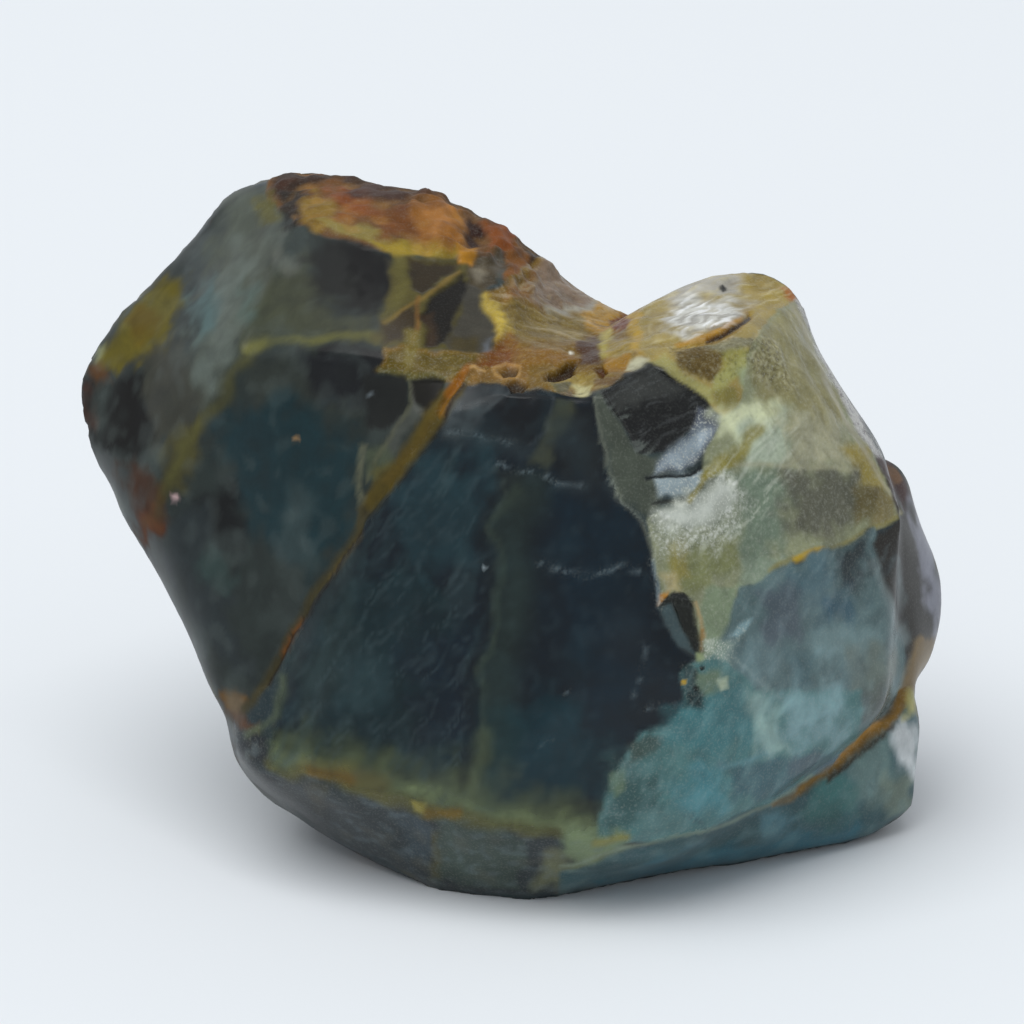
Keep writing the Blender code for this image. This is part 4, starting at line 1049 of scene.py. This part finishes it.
# Dust specks and the black dots of manganese.
SPECKS = [
    (296, 438, 4, "#7a6244"), (175, 497, 4.5, "#a08888"), (371, 394, 3, "#565e62"), (571, 352, 2, "#e0e0d4"),
    (723, 289, 3.5, "#141416"), (702, 668, 3, "#0c0c0c"), (696, 688, 3.5, "#0c0c0c"), (684, 682, 3,
        "#a88a30"),
    (484, 567, 2.5, "#7f8a8e"),
]
for x, y, radius, code in SPECKS:
    lay(smooth_step(radius + 1, radius - 1.5, np.hypot(right - x, down - y)) * front, code, see=0.0, matt=0.5)

# Back to metres, with the underside as flat as the solid's.
UNDERSIDE = 0.1  # what lies lower than this is the flat the stone stands on
flat = points[:, 2] < UNDERSIDE
points[:] = from_front(right, down, toward)
points += skin.normals() * lift[:, None]
points[flat, 2] = 0
low = np.array(cad_box[0]) / MM
high = np.array(cad_box[1]) / MM
points[:] = np.clip(points, low, high)
skin.write()
stone.data.transform(Matrix.Scale(MM, 4))


def store(name, values):
    layer = stone.data.attributes.new(name, "FLOAT_COLOR" if values.ndim > 1 else "FLOAT", "POINT")
    if values.ndim > 1:
        opaque = np.hstack([values, np.ones((len(values), 1))])
        layer.data.foreach_set("color", opaque.astype(np.float32).ravel())
    else:
        layer.data.foreach_set("value", values.astype(np.float32))


store("tint", tint)
store("clear", clear)
store("rough", rough)
store("sparkle", sparkle)

# Fluorite, as it splits and weathers. Low refraction, 1.434, so its gloss is soft; blue-green when light
# passes through it; a thin haze and iron stain scatter light at its skin.
fluorite = bpy.data.materials.new("blue-green fluorite, split and weathered")
fluorite.use_nodes = True
tree = fluorite.node_tree
tree.nodes.clear()
output = add_node(tree, "ShaderNodeOutputMaterial")
shader = add_node(tree, "ShaderNodeBsdfPrincipled", IOR_=1.434, Specular_IOR_Level_=0.24)
tree.links.new(shader.outputs["BSDF"], output.inputs["Surface"])
place = add_node(tree, "ShaderNodeTexCoord").outputs["Object"]
tint_node = add_node(tree, "ShaderNodeAttribute", attribute_name="tint")
clear_node = add_node(tree, "ShaderNodeAttribute", attribute_name="clear")
rough_node = add_node(tree, "ShaderNodeAttribute", attribute_name="rough")
sparkle_node = add_node(tree, "ShaderNodeAttribute", attribute_name="sparkle")

haze = add_node(tree, "ShaderNodeTexNoise", [(place, "Vector")], Scale_=1 / (1.5 * MM), Detail_=7.0,
    Roughness_=0.62, Distortion_=0.6)
haze_gain = add_node(tree, "ShaderNodeMapRange", [(haze.outputs["Fac"], "Value")], _1_=0.3, _2_=0.7,
    _3_=0.78, _4_=1.24)
mixed = add_node(tree, "ShaderNodeVectorMath", [(tint_node.outputs["Color"], 0),
    (haze_gain.outputs["Result"], 1)], operation="MULTIPLY")
# Pale flecks are mixed into the colour where the glint share is high: painted glints. The same share deepens
# the grain's bump.
crumbs = add_node(tree, "ShaderNodeTexNoise", [(place, "Vector")], Scale_=1 / (0.11 * MM), Detail_=2.0,
    Roughness_=0.5)
crumb_share = add_node(tree, "ShaderNodeMapRange", [(crumbs.outputs["Fac"], "Value")], _1_=0.5, _2_=0.72)
painted_glints = add_node(tree, "ShaderNodeMath", [(crumb_share.outputs["Result"], 0), (sparkle_node.outputs["Fac"],
    1)], operation="MULTIPLY")
base = add_node(tree, "ShaderNodeMix", [(painted_glints.outputs["Value"], 0), (mixed.outputs["Vector"], 6)],
    data_type="RGBA", _7_=(*colour("#c9cdc2"), 1))
tree.links.new(base.outputs[2], shader.inputs["Base Color"])
tree.links.new(clear_node.outputs["Fac"], shader.inputs["Transmission Weight"])
tree.links.new(rough_node.outputs["Fac"], shader.inputs["Roughness"])
grain = add_node(tree, "ShaderNodeTexNoise", [(place, "Vector")], Scale_=1 / (0.3 * MM), Detail_=6.0,
    Roughness_=0.6)
grain_depth = add_node(tree, "ShaderNodeMapRange", [(sparkle_node.outputs["Fac"], "Value")], _1_=0.03,
    _2_=0.7, _3_=0.0, _4_=0.7)
bump = add_node(tree, "ShaderNodeBump", [(grain_depth.outputs["Result"], "Strength"), (grain.outputs["Fac"],
    "Height")], Distance_=0.08 * MM)
tree.links.new(bump.outputs["Normal"], shader.inputs["Normal"])
depth = add_node(tree, "ShaderNodeVolumeAbsorption", Color_=(0.16, 0.55, 0.6, 1), Density_=260.0)
tree.links.new(depth.outputs["Volume"], output.inputs["Volume"])
stone.data.materials.append(fluorite)
stone.data.shade_smooth()

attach(stone, "root")
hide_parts("fluorite")

bpy.context.view_layer.update()
